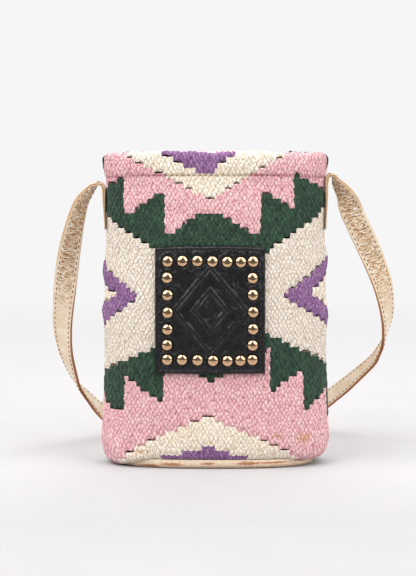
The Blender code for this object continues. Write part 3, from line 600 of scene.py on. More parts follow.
def woolYarn(name):
    # Carded wool weft, beaten down so each pick shows as a plump slanted grain: matt and a bit hairy
    made, tree = startMaterial("woolWeft_" + name)
    paintedShade, usual, light = (linearColour(colour) for colour in yarnColours[name])
    lattice = addNode(tree, "Attribute", {"attribute_name": "lattice"})
    sway = addNode(tree, "TexNoise", {}, {"Vector": lattice.outputs["Vector"], "Scale": 0.9, "Detail": 2})
    push = addNode(tree, "VectorMath", {"operation": "MULTIPLY_ADD"}, {
        0: sway.outputs["Color"], 1: (0.4, 0.4, 0), 2: lattice.outputs["Vector"]})
    layout = {"Vector": push, "Scale": 1.4, "Randomness": 0.5}
    grains = addNode(tree, "TexVoronoi", {"feature": "F1"}, layout)
    gaps = addNode(tree, "TexVoronoi", {"feature": "DISTANCE_TO_EDGE"}, layout)
    plump = addNode(tree, "ValToRGB", {}, {"Fac": gaps}, [(0.0, 0.0), (0.14, 0.5), (0.5, 1.0)])
    cells = addNode(tree, "SeparateColor", {}, {"Color": grains.outputs["Color"]})
    own = addNode(tree, "ValToRGB", {}, {"Fac": cells.outputs["Red"]}, [(0.0, 0.25), (1.0, 0.75)])
    fibre = addNode(tree, "TexNoise", {}, {
        "Vector": objectPlace(tree, (3.2, 3.2, 0.8)), "Scale": 1, "Detail": 4})
    dyed = addNode(tree, "Mix", colourMix, {"Factor": own, "A": usual, "B": light})
    # Painted shade: the gaps between the grains take the painted shade colour, less where the noise packs
    # them tight
    groove = addNode(tree, "ValToRGB", {}, {"Fac": gaps}, [(0.0, 0.0), (0.13, 1.0)])
    loose = addNode(tree, "TexNoise", {}, {"Vector": lattice.outputs["Vector"], "Scale": 1.7, "Detail": 2})
    tight = addNode(tree, "ValToRGB", {}, {"Fac": loose}, [(0.38, 0.82), (0.66, 0.05)])
    packed = addNode(tree, "Math", {"operation": "MAXIMUM"}, {0: groove, 1: tight})
    sunk = addNode(tree, "Mix", colourMix, {
        "Factor": packed, "A": paintedShade, "B": dyed.outputs["Result"]})
    # Painted shade in the hem's crease and down the slits' walls: where the grain value drops, the colour
    # goes to the painted shade colour
    creaseShade = addNode(tree, "Attribute", {"attribute_name": "grain"})
    creased = addNode(tree, "Mix", colourMix, {
        "Factor": creaseShade.outputs["Fac"], "A": paintedShade, "B": sunk.outputs["Result"]})
    tinted = creased.outputs["Result"]
    spotty = addNode(tree, "Math", {"operation": "MULTIPLY_ADD"}, {0: loose, 1: 2.4, 2: -0.75})
    for spot in rubbedPlaces:
        inside = addNode(tree, "Math", {"operation": "SUBTRACT"}, {0: spotty, 1: spotReach(tree, *spot)})
        amount = addNode(tree, "ValToRGB", {}, {"Fac": inside}, [(0.0, 0.0), (0.25, 0.6)])
        stained = addNode(tree, "Mix", colourMix, {
            "Factor": amount, "A": tinted, "B": linearColour("C08A4C")})
        tinted = stained.outputs["Result"]
    hairs = addNode(tree, "ValToRGB", {}, {"Fac": fibre}, [(0.3, 0.78), (0.68, 1.12)])
    colour = addNode(tree, "Mix", {**colourMix, "blend_type": "MULTIPLY"}, {
        "Factor": 0.8, "A": tinted, "B": hairs})
    plumped = addNode(tree, "Bump", {}, {"Strength": 0.85, "Distance": 0.9 * mm, "Height": plump})
    fuzz = addNode(tree, "Bump", {}, {
        "Strength": 0.5, "Distance": 0.3 * mm, "Height": fibre, "Normal": plumped})
    shader = addNode(tree, "BsdfPrincipled", {}, {
        "Base Color": colour.outputs["Result"], "Roughness": 0.9, "Specular IOR Level": 0.3,
        "Sheen Weight": 0.1, "Sheen Roughness": 0.6, "Normal": fuzz})
    return finishMaterial(made, shader)


def liningCotton():
    # Dyed cotton sheeting: nearly black, matt, with its fine even threads drawn 3 times too coarse
    made, tree = startMaterial("cottonLining")
    place = objectPlace(tree)
    thread = {"wave_type": "BANDS", "wave_profile": "SIN"}
    across = addNode(tree, "TexWave", {**thread, "bands_direction": "X"}, {"Vector": place, "Scale": 0.33})
    along = addNode(tree, "TexWave", {**thread, "bands_direction": "Z"}, {"Vector": place, "Scale": 0.33})
    cross = addNode(tree, "Math", {"operation": "MULTIPLY"}, {
        0: across.outputs["Fac"], 1: along.outputs["Fac"]})
    tint = addNode(tree, "ValToRGB", {}, {"Fac": cross}, [(0.0, "0E0E10"), (1.0, "1E1E21")])
    threads = addNode(tree, "Bump", {}, {"Strength": 0.4, "Distance": 0.15 * mm, "Height": cross})
    shader = addNode(tree, "BsdfPrincipled", {}, {
        "Base Color": tint, "Roughness": 0.9, "Sheen Weight": 0.15, "Normal": threads})
    return finishMaterial(made, shader)


def foilLeather():
    # Pale gold foil on calf: satin where the strap lies flat, crinkled where it bends, with painted
    # highlights and painted shade on the crinkles over brown that shows in their cracks
    made, tree = startMaterial("goldFoilLeather")
    place = addNode(tree, "Attribute", {"attribute_name": "strapPlace"})
    spot = addNode(tree, "SeparateXYZ", {}, {"Vector": place.outputs["Vector"]})
    height = addNode(tree, "SeparateXYZ", {}, {"Vector": addNode(tree, "TexCoord").outputs["Object"]})
    raised = addNode(tree, "ValToRGB", {}, {"Fac": height.outputs["Z"]}, [(0.092, 0.0), (0.135, 1.0)])
    centre = addNode(tree, "Math", {"operation": "ABSOLUTE"}, {0: spot.outputs["X"]})
    inner = addNode(tree, "Math", {"operation": "LESS_THAN"}, {0: centre, 1: 5.0})
    bending = addNode(tree, "Math", {"operation": "MULTIPLY"}, {0: raised, 1: inner})
    slanted = addNode(tree, "Mapping", {}, {
        "Vector": place.outputs["Vector"], "Scale": (0.34, 1.25, 1), "Rotation": (0, 0, 0.55)})
    ridges = addNode(tree, "TexNoise", {}, {
        "Vector": slanted, "Scale": 0.95, "Detail": 3, "Roughness": 0.55, "Distortion": 0.9})
    pores = addNode(tree, "TexNoise", {}, {"Vector": place.outputs["Vector"], "Scale": 1.3, "Detail": 4})
    worn = addNode(tree, "TexNoise", {}, {"Vector": place.outputs["Vector"], "Scale": 0.09, "Detail": 3})
    tone = addNode(tree, "ValToRGB", {}, {"Fac": worn}, [(0.3, "E0C8A6"), (0.5, "EAD7BB"), (0.7, "F3E6D1")])
    # Painted highlights and painted shade on the crinkles, over the brown leather that shows in their
    # cracks
    crinkleGlintAndShade = addNode(tree, "ValToRGB", {}, {"Fac": ridges}, [
        (0.36, "83542F"), (0.44, "C79B6C"), (0.52, "E9CDA6"), (0.6, "FFF7EA")])
    colour = addNode(tree, "Mix", colourMix, {
        "Factor": bending, "A": tone, "B": crinkleGlintAndShade})
    reach = addNode(tree, "Math", {"operation": "MULTIPLY_ADD"}, {0: bending, 1: 0.85, 2: 0.15})
    folded = addNode(tree, "Bump", {}, {"Strength": reach, "Distance": 1.6 * mm, "Height": ridges})
    grained = addNode(tree, "Bump", {}, {
        "Strength": 0.5, "Distance": 0.25 * mm, "Height": pores, "Normal": folded})
    rough = addNode(tree, "Math", {"operation": "MULTIPLY_ADD"}, {0: bending, 1: -0.16, 2: 0.42})
    shader = addNode(tree, "BsdfPrincipled", {}, {
        "Base Color": colour.outputs["Result"], "Metallic": 0.2, "Roughness": rough, "Normal": grained})
    return finishMaterial(made, shader)


def cutEdge():
    # Cut edge of leather: brown and finely layered low down, with a painted highlight that turns it pale
    # near the top
    made, tree = startMaterial("cutLeatherEdge")
    layers = addNode(tree, "TexNoise", {}, {
        "Vector": objectPlace(tree, (3, 3, 3)), "Scale": 1, "Detail": 4})
    tint = addNode(tree, "ValToRGB", {}, {"Fac": layers}, [
        (0.3, "9A5C30"), (0.55, "B87340"), (0.8, "CE9A68")])
    height = addNode(tree, "SeparateXYZ", {}, {"Vector": addNode(tree, "TexCoord").outputs["Object"]})
    # Painted highlight: the edge is mixed towards pale gold near the top of the strap
    paintedTopLight = addNode(tree, "ValToRGB", {}, {"Fac": height.outputs["Z"]}, [(0.105, 0.0), (0.14, 0.85)])
    colour = addNode(tree, "Mix", colourMix, {
        "Factor": paintedTopLight, "A": tint, "B": linearColour("D6B58E")})
    bump = addNode(tree, "Bump", {}, {"Strength": 0.5, "Distance": 0.2 * mm, "Height": layers})
    shader = addNode(tree, "BsdfPrincipled", {}, {
        "Base Color": colour.outputs["Result"], "Roughness": 0.6, "Normal": bump})
    return finishMaterial(made, shader)


def waxedThread(name, dark, light):
    # Waxed polyester thread: smooth, slightly shiny, with its twist showing as fine slanted lines
    made, tree = startMaterial("waxedThread_" + name)
    twist = addNode(tree, "TexWave", {"bands_direction": "DIAGONAL"}, {
        "Vector": objectPlace(tree), "Scale": 0.9})
    tint = addNode(tree, "ValToRGB", {}, {"Fac": twist.outputs["Fac"]}, [(0.2, dark), (0.8, light)])
    bump = addNode(tree, "Bump", {}, {
        "Strength": 0.4, "Distance": 0.1 * mm, "Height": twist.outputs["Fac"]})
    shader = addNode(tree, "BsdfPrincipled", {}, {
        "Base Color": tint, "Roughness": 0.5, "Normal": bump})
    return finishMaterial(made, shader)


wornPlaces = [  # where the base's gold has rubbed off to rust brown: x, z, half length, half height in mm
    (-45, 1.9, 9, 1.4), (-30, 3.2, 10, 1.4), (-5, 3.9, 6, 1.2), (22, 3.9, 10, 1.7), (40, 4.2, 18, 0.8),
    (60, 5, 6, 1.3),
]


def baseLeather():
    # Metallic calf on a stiffener: pale gold on top, dull rust where the floor has worn it
    made, tree = startMaterial("paleGoldLeather")
    ragged = addNode(tree, "TexNoise", {}, {
        "Vector": objectPlace(tree, (0.55, 0.55, 1.4)), "Scale": 1, "Detail": 4})
    grainy = addNode(tree, "TexVoronoi", {}, {"Vector": objectPlace(tree, (1.1, 1.1, 1.1)), "Scale": 1})
    colour = addNode(tree, "ValToRGB", {}, {"Fac": ragged}, [
        (0.25, "D9BF9C"), (0.5, "EBD5B9"), (0.75, "F6E8D7")])
    rough = addNode(tree, "Math", {"operation": "MULTIPLY_ADD"}, {0: ragged, 1: -1.6, 2: 1.75})
    for spot in wornPlaces:
        reach = addNode(tree, "Math", {"operation": "DIVIDE"}, {0: spotReach(tree, *spot), 1: rough})
        worn = addNode(tree, "ValToRGB", {}, {"Fac": reach}, [(0.55, 0.85), (1.0, 0.0)])
        mixed = addNode(tree, "Mix", colourMix, {"Factor": worn, "A": colour, "B": linearColour("AE6531")})
        colour = mixed.outputs["Result"]
    # Darker brown along the bottom edge: partly wear from the floor, partly painted contact shadow
    level = addNode(tree, "SeparateXYZ", {}, {"Vector": addNode(tree, "TexCoord").outputs["Object"]})
    uneven = addNode(tree, "Math", {"operation": "MULTIPLY_ADD"}, {
        0: ragged, 1: 3 * mm, 2: level.outputs["Z"]})
    footShadeAndWear = addNode(tree, "ValToRGB", {}, {"Fac": uneven}, [(0.0027, 0.9), (0.0043, 0.0)])
    footShadedWorn = addNode(tree, "Mix", colourMix, {"Factor": footShadeAndWear, "A": colour, "B": linearColour("8E5E3C")})
    colour = footShadedWorn.outputs["Result"]
    bump = addNode(tree, "Bump", {}, {"Strength": 0.35, "Distance": 0.2 * mm, "Height": grainy})
    creased = addNode(tree, "Bump", {}, {
        "Strength": 0.5, "Distance": 0.4 * mm, "Height": ragged, "Normal": bump})
    shader = addNode(tree, "BsdfPrincipled", {}, {
        "Base Color": colour, "Metallic": 0.15, "Roughness": 0.5, "Normal": creased})
    return finishMaterial(made, shader)


def blackCalf():
    # Aniline calf, milled soft: black with a low sheen, pebbled at about 0.8 mm and lightly creased
    made, tree = startMaterial("blackCalfLeather")
    pebble = addNode(tree, "TexVoronoi", {}, {"Vector": objectPlace(tree, (1.25, 1.25, 1.25)), "Scale": 1})
    slanted = objectPlace(tree, (0.15, 0.15, 0.1), (0, 0.5, 0))
    crease = addNode(tree, "TexNoise", {}, {"Vector": slanted, "Scale": 1, "Detail": 5})
    tone = addNode(tree, "ValToRGB", {}, {"Fac": crease}, [
        (0.3, "050608"), (0.6, "0B0C0F"), (0.8, "17181C")])
    rough = addNode(tree, "ValToRGB", {}, {"Fac": crease}, [(0.3, 0.34), (0.7, 0.24)])
    soft = addNode(tree, "Bump", {}, {"Strength": 0.9, "Distance": 3.2 * mm, "Height": crease})
    fine = addNode(tree, "Bump", {}, {
        "Strength": 0.25, "Distance": 0.2 * mm, "Height": pebble, "Normal": soft})
    shader = addNode(tree, "BsdfPrincipled", {}, {
        "Base Color": tone, "Roughness": rough, "Specular IOR Level": 0.38,
        "Normal": fine})
    return finishMaterial(made, shader)


def platedBrass():
    # Stamped brass with pale gold plating: mirror-like with faint rubbing from use
    made, tree = startMaterial("goldPlatedBrass")
    rub = addNode(tree, "TexNoise", {}, {
        "Vector": objectPlace(tree, (0.8, 0.8, 0.8)), "Scale": 1, "Detail": 4})
    tone = addNode(tree, "ValToRGB", {}, {"Fac": rub}, [(0.3, "C69F78"), (0.7, "E2C09B")])
    rough = addNode(tree, "ValToRGB", {}, {"Fac": rub}, [(0.35, 0.08), (0.7, 0.2)])
    shader = addNode(tree, "BsdfPrincipled", {}, {
        "Base Color": tone, "Metallic": 1.0, "Roughness": rough})
    return finishMaterial(made, shader)


# Lining: one dark tube of cotton, open at the top, that lies slack against the cloth

lining = {
    "thick": 0.8, "tuck": 10, "around": 180, "slack": 1.6,
    "foldAcross": 0.19, "foldUp": 0.05, "foldEase": 6,  # turns per mm, and mm from the side seams
}


def fullRing(level, halfWidth, halfDepth, around, slack=0.0):
    angles = planAngles(np.linspace(0, 1, around // 2 + 1))
    x, y, outX, outY = planPoint(angles, halfWidth, halfDepth)
    fold = slack * (0.5 - 0.5 * np.cos(x * lining["foldAcross"] + level * lining["foldUp"]))
    fold *= np.clip((halfWidth - np.abs(x)) / lining["foldEase"], 0, 1)
    front = np.stack([x - outX * fold, -(y - outY * fold), np.full(len(x), level)], axis=1)
    back = front[::-1][1:-1] * (1, -1, 1)
    return np.vstack([front, back]) * mm


def ringPiece(name, rings, finishes):
    count = len(rings[0])
    points = np.vstack(rings)
    ends = [tuple(range(count)), tuple(range(len(points) - count, len(points)))]
    return makePiece(name, points, tubeFaces(len(rings), count) + ends, finishes)


def addLining(finish):
    outward = pouch["cloth"] + pouch["gap"]
    inward = outward + lining["thick"]
    shoulder = rollStart + outward
    top = hemFoot + lining["tuck"]
    levels = [*np.linspace(pouch["bellyHeight"], hemFoot, 40), (hemFoot + top) / 2, top]
    outer, inner = [], []
    for low in (tuckFoot, shoulder):
        outer.append((low, tuckLength - outward, tuckDepth - outward, 0))
        inner.append((low + lining["thick"], tuckLength - inward, tuckDepth - inward, 0))
    for level in levels:
        share = (level - pouch["bellyHeight"]) / (hemFoot - pouch["bellyHeight"])
        slack = lining["slack"] * sin(pi * np.clip(share, 0, 1)) ** 0.5
        outer.append((level, *clothSize(level, outward), slack))
        inner.append((level, *clothSize(level, inward), slack))
    rings = []
    for level, width, depth, slack in outer + inner[::-1]:
        rings.append(fullRing(level, width, depth, lining["around"], slack))
    return ringPiece("lining_cloth", rings, [finish])


# Base tray: an oval of leather turned up round the foot of the cloth

def addBase(finish):
    halfLength, halfDepth = pouch["baseLength"] / 2, pouch["baseDepth"] / 2
    top, wall, lip = pouch["baseHeight"], pouch["baseLeather"], pouch["baseLip"]
    section = []  # (height, inset from the outside)
    for turn in np.linspace(0, pi / 2, 9):
        section.append((pouch["baseRound"] * (1 - cos(turn)), pouch["baseRound"] * (1 - sin(turn))))
    section += [(top - lip, 0), (top - lip * 0.3, lip * 0.3), (top, lip), (top, wall), (wall, wall)]
    rings = [fullRing(level, halfLength - inset, halfDepth - inset, 240) for level, inset in section]
    piece = ringPiece("base_tray", rings, [finish])
    piece.data.set_sharp_from_angle(angle=radians(60))
    return piece


# Patch: black leather with a turned rim, one row of stitches and lozenges pressed in

patch = {
    "width": 75.2, "height": 86.2, "x": -3.7, "z": 110, "back": 0.8, "turnIn": 1.1, "leather": 1.3,
    "arch": 1.2, "rimRound": 1.5, "rimBead": 0.22, "wrinkle": 0.24, "pucker": 0.42, "puckerRise": 0.16,
    "stitchInset": 2.7, "stitchPitch": 3.1, "stitchLength": 2.5, "stitchWidth": 0.5, "stitchRise": 0.25,
    "stitchSink": 0.28, "motifRelief": 0.6, "lozengeX": 26, "lozengeZ": 31,
    "lozenges": (1.0, 0.87, 0.5, 0.37), "across": 150, "up": 172,
}
patchFront = patch["back"] + patch["turnIn"] + patch["leather"]


def motifHeight(x, z):
    # Raised lines of nested lozenges, a plain old weaver's figure
    height = np.zeros(np.broadcast(x, z).shape)
    for reach in patch["lozenges"]:
        past = np.abs(x) / patch["lozengeX"] + np.abs(z) / patch["lozengeZ"] - reach
        height = np.maximum(height, np.exp(-(past * patch["lozengeX"] * 0.75 / 0.7) ** 2))
    return height


def addPatch(finish):
    columns, rows = patch["across"] + 1, patch["up"] + 1
    gridU, gridV = np.meshgrid(np.linspace(-1, 1, columns), np.linspace(-1, 1, rows))
    x = patch["x"] + gridU * patch["width"] / 2
    z = patch["z"] + gridV * patch["height"] / 2 + np.maximum(gridV, 0) * patch["arch"] * (1 - gridU**2)
    fromEdge = np.minimum((1 - np.abs(gridU)) * patch["width"], (1 - np.abs(gridV)) * patch["height"]) / 2
    rim = np.clip(fromEdge / patch["rimRound"], 0, 1)
    rimDrop = patch["rimRound"] * (1 - np.sqrt(1 - (1 - rim) ** 2))
    form = formAt(x, z)
    height = patchFront + form - rimDrop * 0.8
    height -= patch["stitchSink"] * np.exp(-((fromEdge - patch["stitchInset"]) / 0.55) ** 2)
    height += patch["rimBead"] * np.exp(-((fromEdge - 1.6) / 0.8) ** 2)
    wrinkle = np.sin(x * 0.31 + 1.7 * np.sin(z * 0.11)) * np.sin(z * 0.23 + 1.3 * np.sin(x * 0.17))
    wrinkle += 0.6 * np.sin(x * 0.09 - z * 0.47 + 2 * np.sin(x * 0.05))
    height += patch["wrinkle"] * wrinkle * np.clip(fromEdge / 6, 0, 1)
    height += patch["motifRelief"] * motifHeight(x - patch["x"], z - patch["z"])
    for studX, studZ in studPlaces():
        away = np.hypot(x - studX, z - studZ)
        spokes = 1 + 0.5 * np.sin(7 * np.arctan2(z - studZ, x - studX) + studX)
        height -= patch["pucker"] * spokes * np.exp(-((away - stud["radius"]) / 0.9) ** 2)
        height += patch["puckerRise"] * spokes * np.exp(-((away - stud["radius"] - 1.9) / 0.9) ** 2)
    y = frontY(x, z) - height
    back = frontY(x, z) - patch["back"] - form
    front = np.stack([x, y, z], axis=-1).reshape(-1, 3)
    rear = np.stack([x, back, z], axis=-1).reshape(-1, 3)
    points = np.vstack([front, rear]) * mm
    faces = gridFaces(rows, columns).tolist() + gridFaces(rows, columns, rows * columns).tolist()
    rim = list(range(columns - 1)) + [row * columns + columns - 1 for row in range(rows - 1)]
    rim += [(rows - 1) * columns + column for column in range(columns - 1, 0, -1)]
    rim += [row * columns for row in range(rows - 1, 0, -1)]
    for index, corner in enumerate(rim):
        after = rim[(index + 1) % len(rim)]
        faces.append((corner, after, after + rows * columns, corner + rows * columns))
    return makePiece("patch_leather", points, faces, [finish])


# Studs: stamped domes set a little unevenly along the patch's four sides

stud = {
    "radius": 3.5, "rise": 1.7, "roundOff": 0.32, "insetX": 8.45, "insetZ": 9.45, "across": 7, "up": 7,
    "uneven": 0.4, "driftAcross": 0.034, "driftDown": 0.015, "driftStart": 1.4, "tilt": 0.05,
    "shank": 0.8, "tail": 1.4, "tailHeight": 0.4, "around": 40,
}


def drifted(count, drift):
    even = np.linspace(0, 1, count)
    return 2 * (even + drift * np.sin(pi * even ** stud["driftStart"])) - 1


def studPlaces():
    halfX = patch["width"] / 2 - stud["insetX"]
    halfZ = patch["height"] / 2 - stud["insetZ"]
    level = drifted(stud["across"], stud["driftAcross"])
    upright = drifted(stud["up"], stud["driftDown"])[1:-1]
    places = [(patch["x"] + halfX * share, patch["z"] + z) for z in (halfZ, -halfZ) for share in level]
    places += [(patch["x"] + x, patch["z"] - halfZ * share) for x in (-halfX, halfX) for share in upright]
    # Set by hand, so none is quite in line
    uneven = stud["uneven"]
    return [(x + 0.6 * uneven * cos(5.1 * number), z + uneven * sin(7.3 * number))
            for number, (x, z) in enumerate(places)]


def studMesh(finish):
    # Turned profile from the dome's crown over its rim to the spread tail behind the leather
    radius, rise = stud["radius"], stud["rise"]
    profile = [(radius * share, rise - stud["roundOff"] * radius * share**3)
               for share in (0.14, 0.28, 0.42, 0.55, 0.66, 0.76, 0.84, 0.9, 0.95, 0.985)]
    tailTop = -(2 * pouch["gap"] + patch["leather"])
    profile += [(radius, 0.22), (radius * 0.99, 0.02), (radius * 0.93, -0.05), (stud["shank"], -0.02)]
    profile += [(stud["shank"], tailTop), (stud["tail"], tailTop - stud["tailHeight"])]
    around = stud["around"]
    points = [(0, 0, rise)]
    for size, level in profile:
        for index in range(around):
            angle = 2 * pi * index / around
            points.append((size * cos(angle), size * sin(angle), level))
    faces = [(0, 1 + index, 1 + (index + 1) % around) for index in range(around)]
    faces += tubeFaces(len(profile), around, 1)
    last = 1 + (len(profile) - 1) * around
    faces.append(tuple(last + index for index in range(around)))
    piece = makePiece("stud_dome", np.array(points) * mm, faces, [finish])
    piece.data.set_sharp_from_angle(angle=radians(50))
    mesh = piece.data
    bpy.data.objects.remove(piece)
    return mesh


def addStuds(finish):
    mesh = studMesh(finish)
    step = stud["radius"]
    for number, (x, z) in enumerate(studPlaces(), 1):
        piece = bpy.data.objects.new("stud_dome_%02d" % number, mesh)
        bpy.context.collection.objects.link(piece)
        tiltX = (frontY(x + step, z) - frontY(x - step, z)) / (2 * step)
        tiltZ = (frontY(x, z + step) - frontY(x, z - step)) / (2 * step)
        wobble = stud["tilt"] * (chance.rand(2) - 0.5)
        outward = Vector((tiltX + wobble[0], -1, tiltZ + wobble[1])).normalized()
        piece.rotation_mode = "QUATERNION"
        piece.rotation_quaternion = outward.to_track_quat("Z", "Y")
        standoff = patchFront + pouch["gap"] + float(formAt(np.array(x), np.array(z)))
        piece.location = Vector((x, float(frontY(x, z, standoff)), z)) * mm
        bpy.context.view_layer.update()
        seat(piece, "stud_%02d" % number)


# Strap: two plies of gold leather back to back, twisted once on each side of the pouch

strap = {
    "width": 16, "ply": 0.85, "tabFoot": 164, "tabTopLeft": 190, "tabTopRight": 196, "bend": 3.6,
    "bendLift": 2, "foldY": 110, "foldRadius": 21, "foldLeftX": -32, "foldRightX": 48, "returnX": -44,
    "returnRadius": 28, "returnRun": 25, "returnPast": 4,
    "skived": 0.35, "eased": 0.3, "crumple": 0.14,
    "stitchInset": 2.1, "stitchPitch": 4.2, "stitchLength": 2.7, "stitchWidth": 0.8, "stitchRise": 0.32,
    "stitchSink": 0.16,
}
strapHalf = strap["ply"] + pouch["gap"] / 2
tabStandoff = pouch["gap"] + strapHalf
# Route as (outward from the side of the pouch, y, z) and the direction from first to second edge
rightFall = [
    ((5.2, 0, 195.7), (-0.22, 0.93, -0.28)), ((11.3, 0, 186.6), (-0.58, 0.70, -0.42)),
    ((15.6, 2, 175.6), (-0.88, 0.15, -0.44)), ((21.6, 5, 162.9), (-0.89, 0, -0.45)),
    ((28.1, 9, 149.9), (-0.90, -0.10, -0.44)), ((34, 14, 136.8), (-0.85, -0.37, -0.37)),
    ((39.4, 20, 123.4), (-0.81, -0.53, -0.26)), ((43.1, 27, 109.7), (-0.69, -0.71, -0.12)),
    ((44.9, 35, 95.8), (-0.46, -0.89, 0)), ((43.9, 44, 81.4), (-0.14, -0.99, 0.04)),
    ((41.1, 51, 71.6), (0.02, -1, 0)), ((35.9, 60, 61.4), (0.12, -0.98, -0.12)),
    ((22.4, 73, 45.8), (0.22, -0.94, -0.24)), ((12.1, 84, 34.8), (0.25, -0.92, -0.30)),
    ((0.5, 95, 23.5), (0.20, -0.80, -0.56)), ((-13.5, 104, 13), (0.05, -0.45, -0.90)),
]
leftRise = [
    ((-3, 91, 13.5), (-0.05, -0.50, -0.86)), ((6.2, 79, 22), (-0.15, -0.93, -0.33)),
    ((14.5, 70, 32.7), (-0.06, -0.99, -0.10)), ((21.5, 61, 43.2), (0.10, -0.99, 0.05)),
    ((25.2, 53, 53.5), (0.30, -0.94, 0.14)), ((29.4, 40, 73.2), (0.60, -0.80, 0.08)),
    ((30.1, 29, 92.2), (0.82, -0.57, 0)), ((28.2, 20, 110.5), (0.92, -0.38, -0.06)),
    ((25.8, 13, 128.4), (1, 0, -0.10)), ((23.1, 8, 145.8), (0.91, 0.39, -0.12)),
    ((19.5, 4, 163), (0.73, 0.66, -0.17)), ((16.1, 2, 175.6), (0.57, 0.80, -0.18)),
    ((12.8, 1, 184), (0.40, 0.88, -0.25)), ((6.1, 0, 192.7), (0.12, 0.97, -0.18)),
]


def tabRoute(side, top):
    depthwise = (0, 1, 0)
    route = []
    for z in np.linspace(strap["tabFoot"], top, 5):
        route.append(((side * (float(clothSize(z)[0]) + tabStandoff), 0, z), depthwise))
    start = float(clothSize(top)[0]) + tabStandoff
    for turn in (40, 80, 115):
        out = strap["bend"] * (1 - cos(radians(turn)))
        lift = strap["bend"] * sin(radians(turn)) + strap["bendLift"]
        route.append(((side * (start + out), 0, top + lift), depthwise))
    return route


def floorRoute():
    # Runs on edge behind the pouch: two half turns, then a quarter turn back to the left
    radius, foldY = strap["foldRadius"], strap["foldY"]
    leftX, rightX = strap["foldLeftX"], strap["foldRightX"]
    plan = [(rightX, foldY), (0, foldY)]
    for turn in range(0, 181, 36):
        plan.append((leftX - radius * sin(radians(turn)), foldY + radius - radius * cos(radians(turn))))
    plan.append((0, foldY + 2 * radius))
    for turn in range(0, 181, 36):
        angle = radians(turn)
        plan.append((rightX + radius * sin(angle), foldY + 3 * radius - radius * cos(angle)))
    lastY = foldY + 4 * radius
    plan.append((0, lastY))
    corner, backX = strap["returnRadius"], strap["returnX"]
    for turn in range(0, 91, 30):
        plan.append((backX - corner * sin(radians(turn)), lastY - corner + corner * cos(radians(turn))))
    plan.append((backX - corner, foldY + strap["returnRun"]))
    plan.append((backX - corner, foldY - strap["returnPast"]))
    return [((x, y, strap["width"] / 2), (0, 0, -1)) for x, y in plan]


def strapRoute():
    half = pouch["width"] / 2
    fall = [((half + out, y, z), edge) for (out, y, z), edge in rightFall]
    rise = [((-half - out, y, z), edge) for (out, y, z), edge in leftRise]
    left = tabRoute(-1, strap["tabTopLeft"])[::-1]
    return tabRoute(1, strap["tabTopRight"]) + fall + floorRoute() + rise + left


def smoothLine(corners):
    # Smooth curve through the corners, 24 short steps between each two
    corners = np.array(corners, dtype=float)
    padded = np.concatenate([[2 * corners[0] - corners[1]], corners, [2 * corners[-1] - corners[-2]]])
    t = np.linspace(0, 1, 24, endpoint=False)[:, None]
    line = []
    for index in range(len(corners) - 1):
        a, b, c, d = padded[index:index + 4]
        line.append(0.5 * (2 * b + (c - a) * t + (2 * a - 5 * b + 4 * c - d) * t**2
                           + (3 * b - a - 3 * c + d) * t**3))
    return np.vstack([*line, corners[-1:]])


def strapCurve(spacing):
    # The strap's middle at an even spacing, and the directions across and out of it
    route = strapRoute()
    curve = smoothLine([place for place, edge in route])
    widths = smoothLine([edge for place, edge in route])
    run = np.concatenate([[0], np.cumsum(np.linalg.norm(np.diff(curve, axis=0), axis=1))])
    even = np.linspace(0, run[-1], int(run[-1] / spacing) + 1)
    curve = np.stack([np.interp(even, run, curve[:, axis]) for axis in range(3)], axis=1)
    widths = np.stack([np.interp(even, run, widths[:, axis]) for axis in range(3)], axis=1)
    along = np.gradient(curve, axis=0)
    along /= np.linalg.norm(along, axis=1)[:, None]
    widths -= along * (widths * along).sum(axis=1)[:, None]
    widths /= np.linalg.norm(widths, axis=1)[:, None]
    return even, curve, along, widths, np.cross(along, widths)


def addPly(name, near, far, finishes):
    # Closed ribbon with eased edges between two distances from the middle of the strap
    run, curve, along, widths, normals = strapCurve(1.5)
    half = strap["width"] / 2
    ease = strap["eased"]
    low, high = min(near, far), max(near, far)
    sweep = np.linspace(-half + ease, half - ease, 13)
    section = [(place, high) for place in sweep] + [(half, high - ease), (half, low + ease)]
    section += [(place, low) for place in sweep[::-1]] + [(-half, low + ease), (-half, high - ease)]
    section = np.array(section)
    rows, count = len(curve), len(section)
    # Sewn ends are skived thin towards their feet, on the side away from the pouch
    ends = [strap["tabTopRight"] - strap["tabFoot"], strap["tabTopLeft"] - strap["tabFoot"]]
    skive = np.minimum(np.clip(run / ends[0], 0, 1), np.clip((run[-1] - run) / ends[1], 0, 1))
    thin = strap["skived"] + (1 - strap["skived"]) * skive**2
    towards = -np.sign(normals[:, 0] * curve[:, 0])  # the strap's normal points to the pouch or away
    inward = towards * (1 - thin) * strapHalf
    middle = (low + high) / 2
    outer = 1.0 if abs(high) > abs(low) else -1.0
    shown = np.sign(section[:, 1] - middle) == outer
    crumple = np.sin(run[:, None] * 1.9 + 1.3 * np.sin(section[None, :, 0] * 0.5 + run[:, None] * 0.21))
    crumple *= np.sin(run[:, None] * 0.83 + section[None, :, 0] * 0.35)
    lift = strap["crumple"] * crumple * np.exp(-(section[None, :, 0] / 5.0) ** 4)
    fromStitches = np.abs(section[None, :, 0]) - (half - strap["stitchInset"])
    lift -= strap["stitchSink"] * np.exp(-(fromStitches / 0.7) ** 2)
    lift *= shown[None, :] * outer
    points = (curve[:, None, :] + widths[:, None, :] * section[None, :, :1]
              + normals[:, None, :] * (section[None, :, 1:] * thin[:, None, None] + lift[..., None]
                                       + inward[:, None, None]))
    faces = tubeFaces(rows, count) + [tuple(range(count)), tuple(range((rows - 1) * count, rows * count))]
    edgeFaces = {12, 13, 14, 27, 28, 29}
    faceFinish = [int(column in edgeFaces) for column in range(count)] * (rows - 1) + [1, 1]
    place = np.zeros((rows, count, 3))
    place[..., 0] = section[None, :, 0]
    place[..., 1] = run[:, None]
    place[..., 2] = section[None, :, 1] * 3
    return makePiece(name, points.reshape(-1, 3) * mm, faces, finishes, faceFinish,
                     values={"strapPlace": place.reshape(-1, 3)})


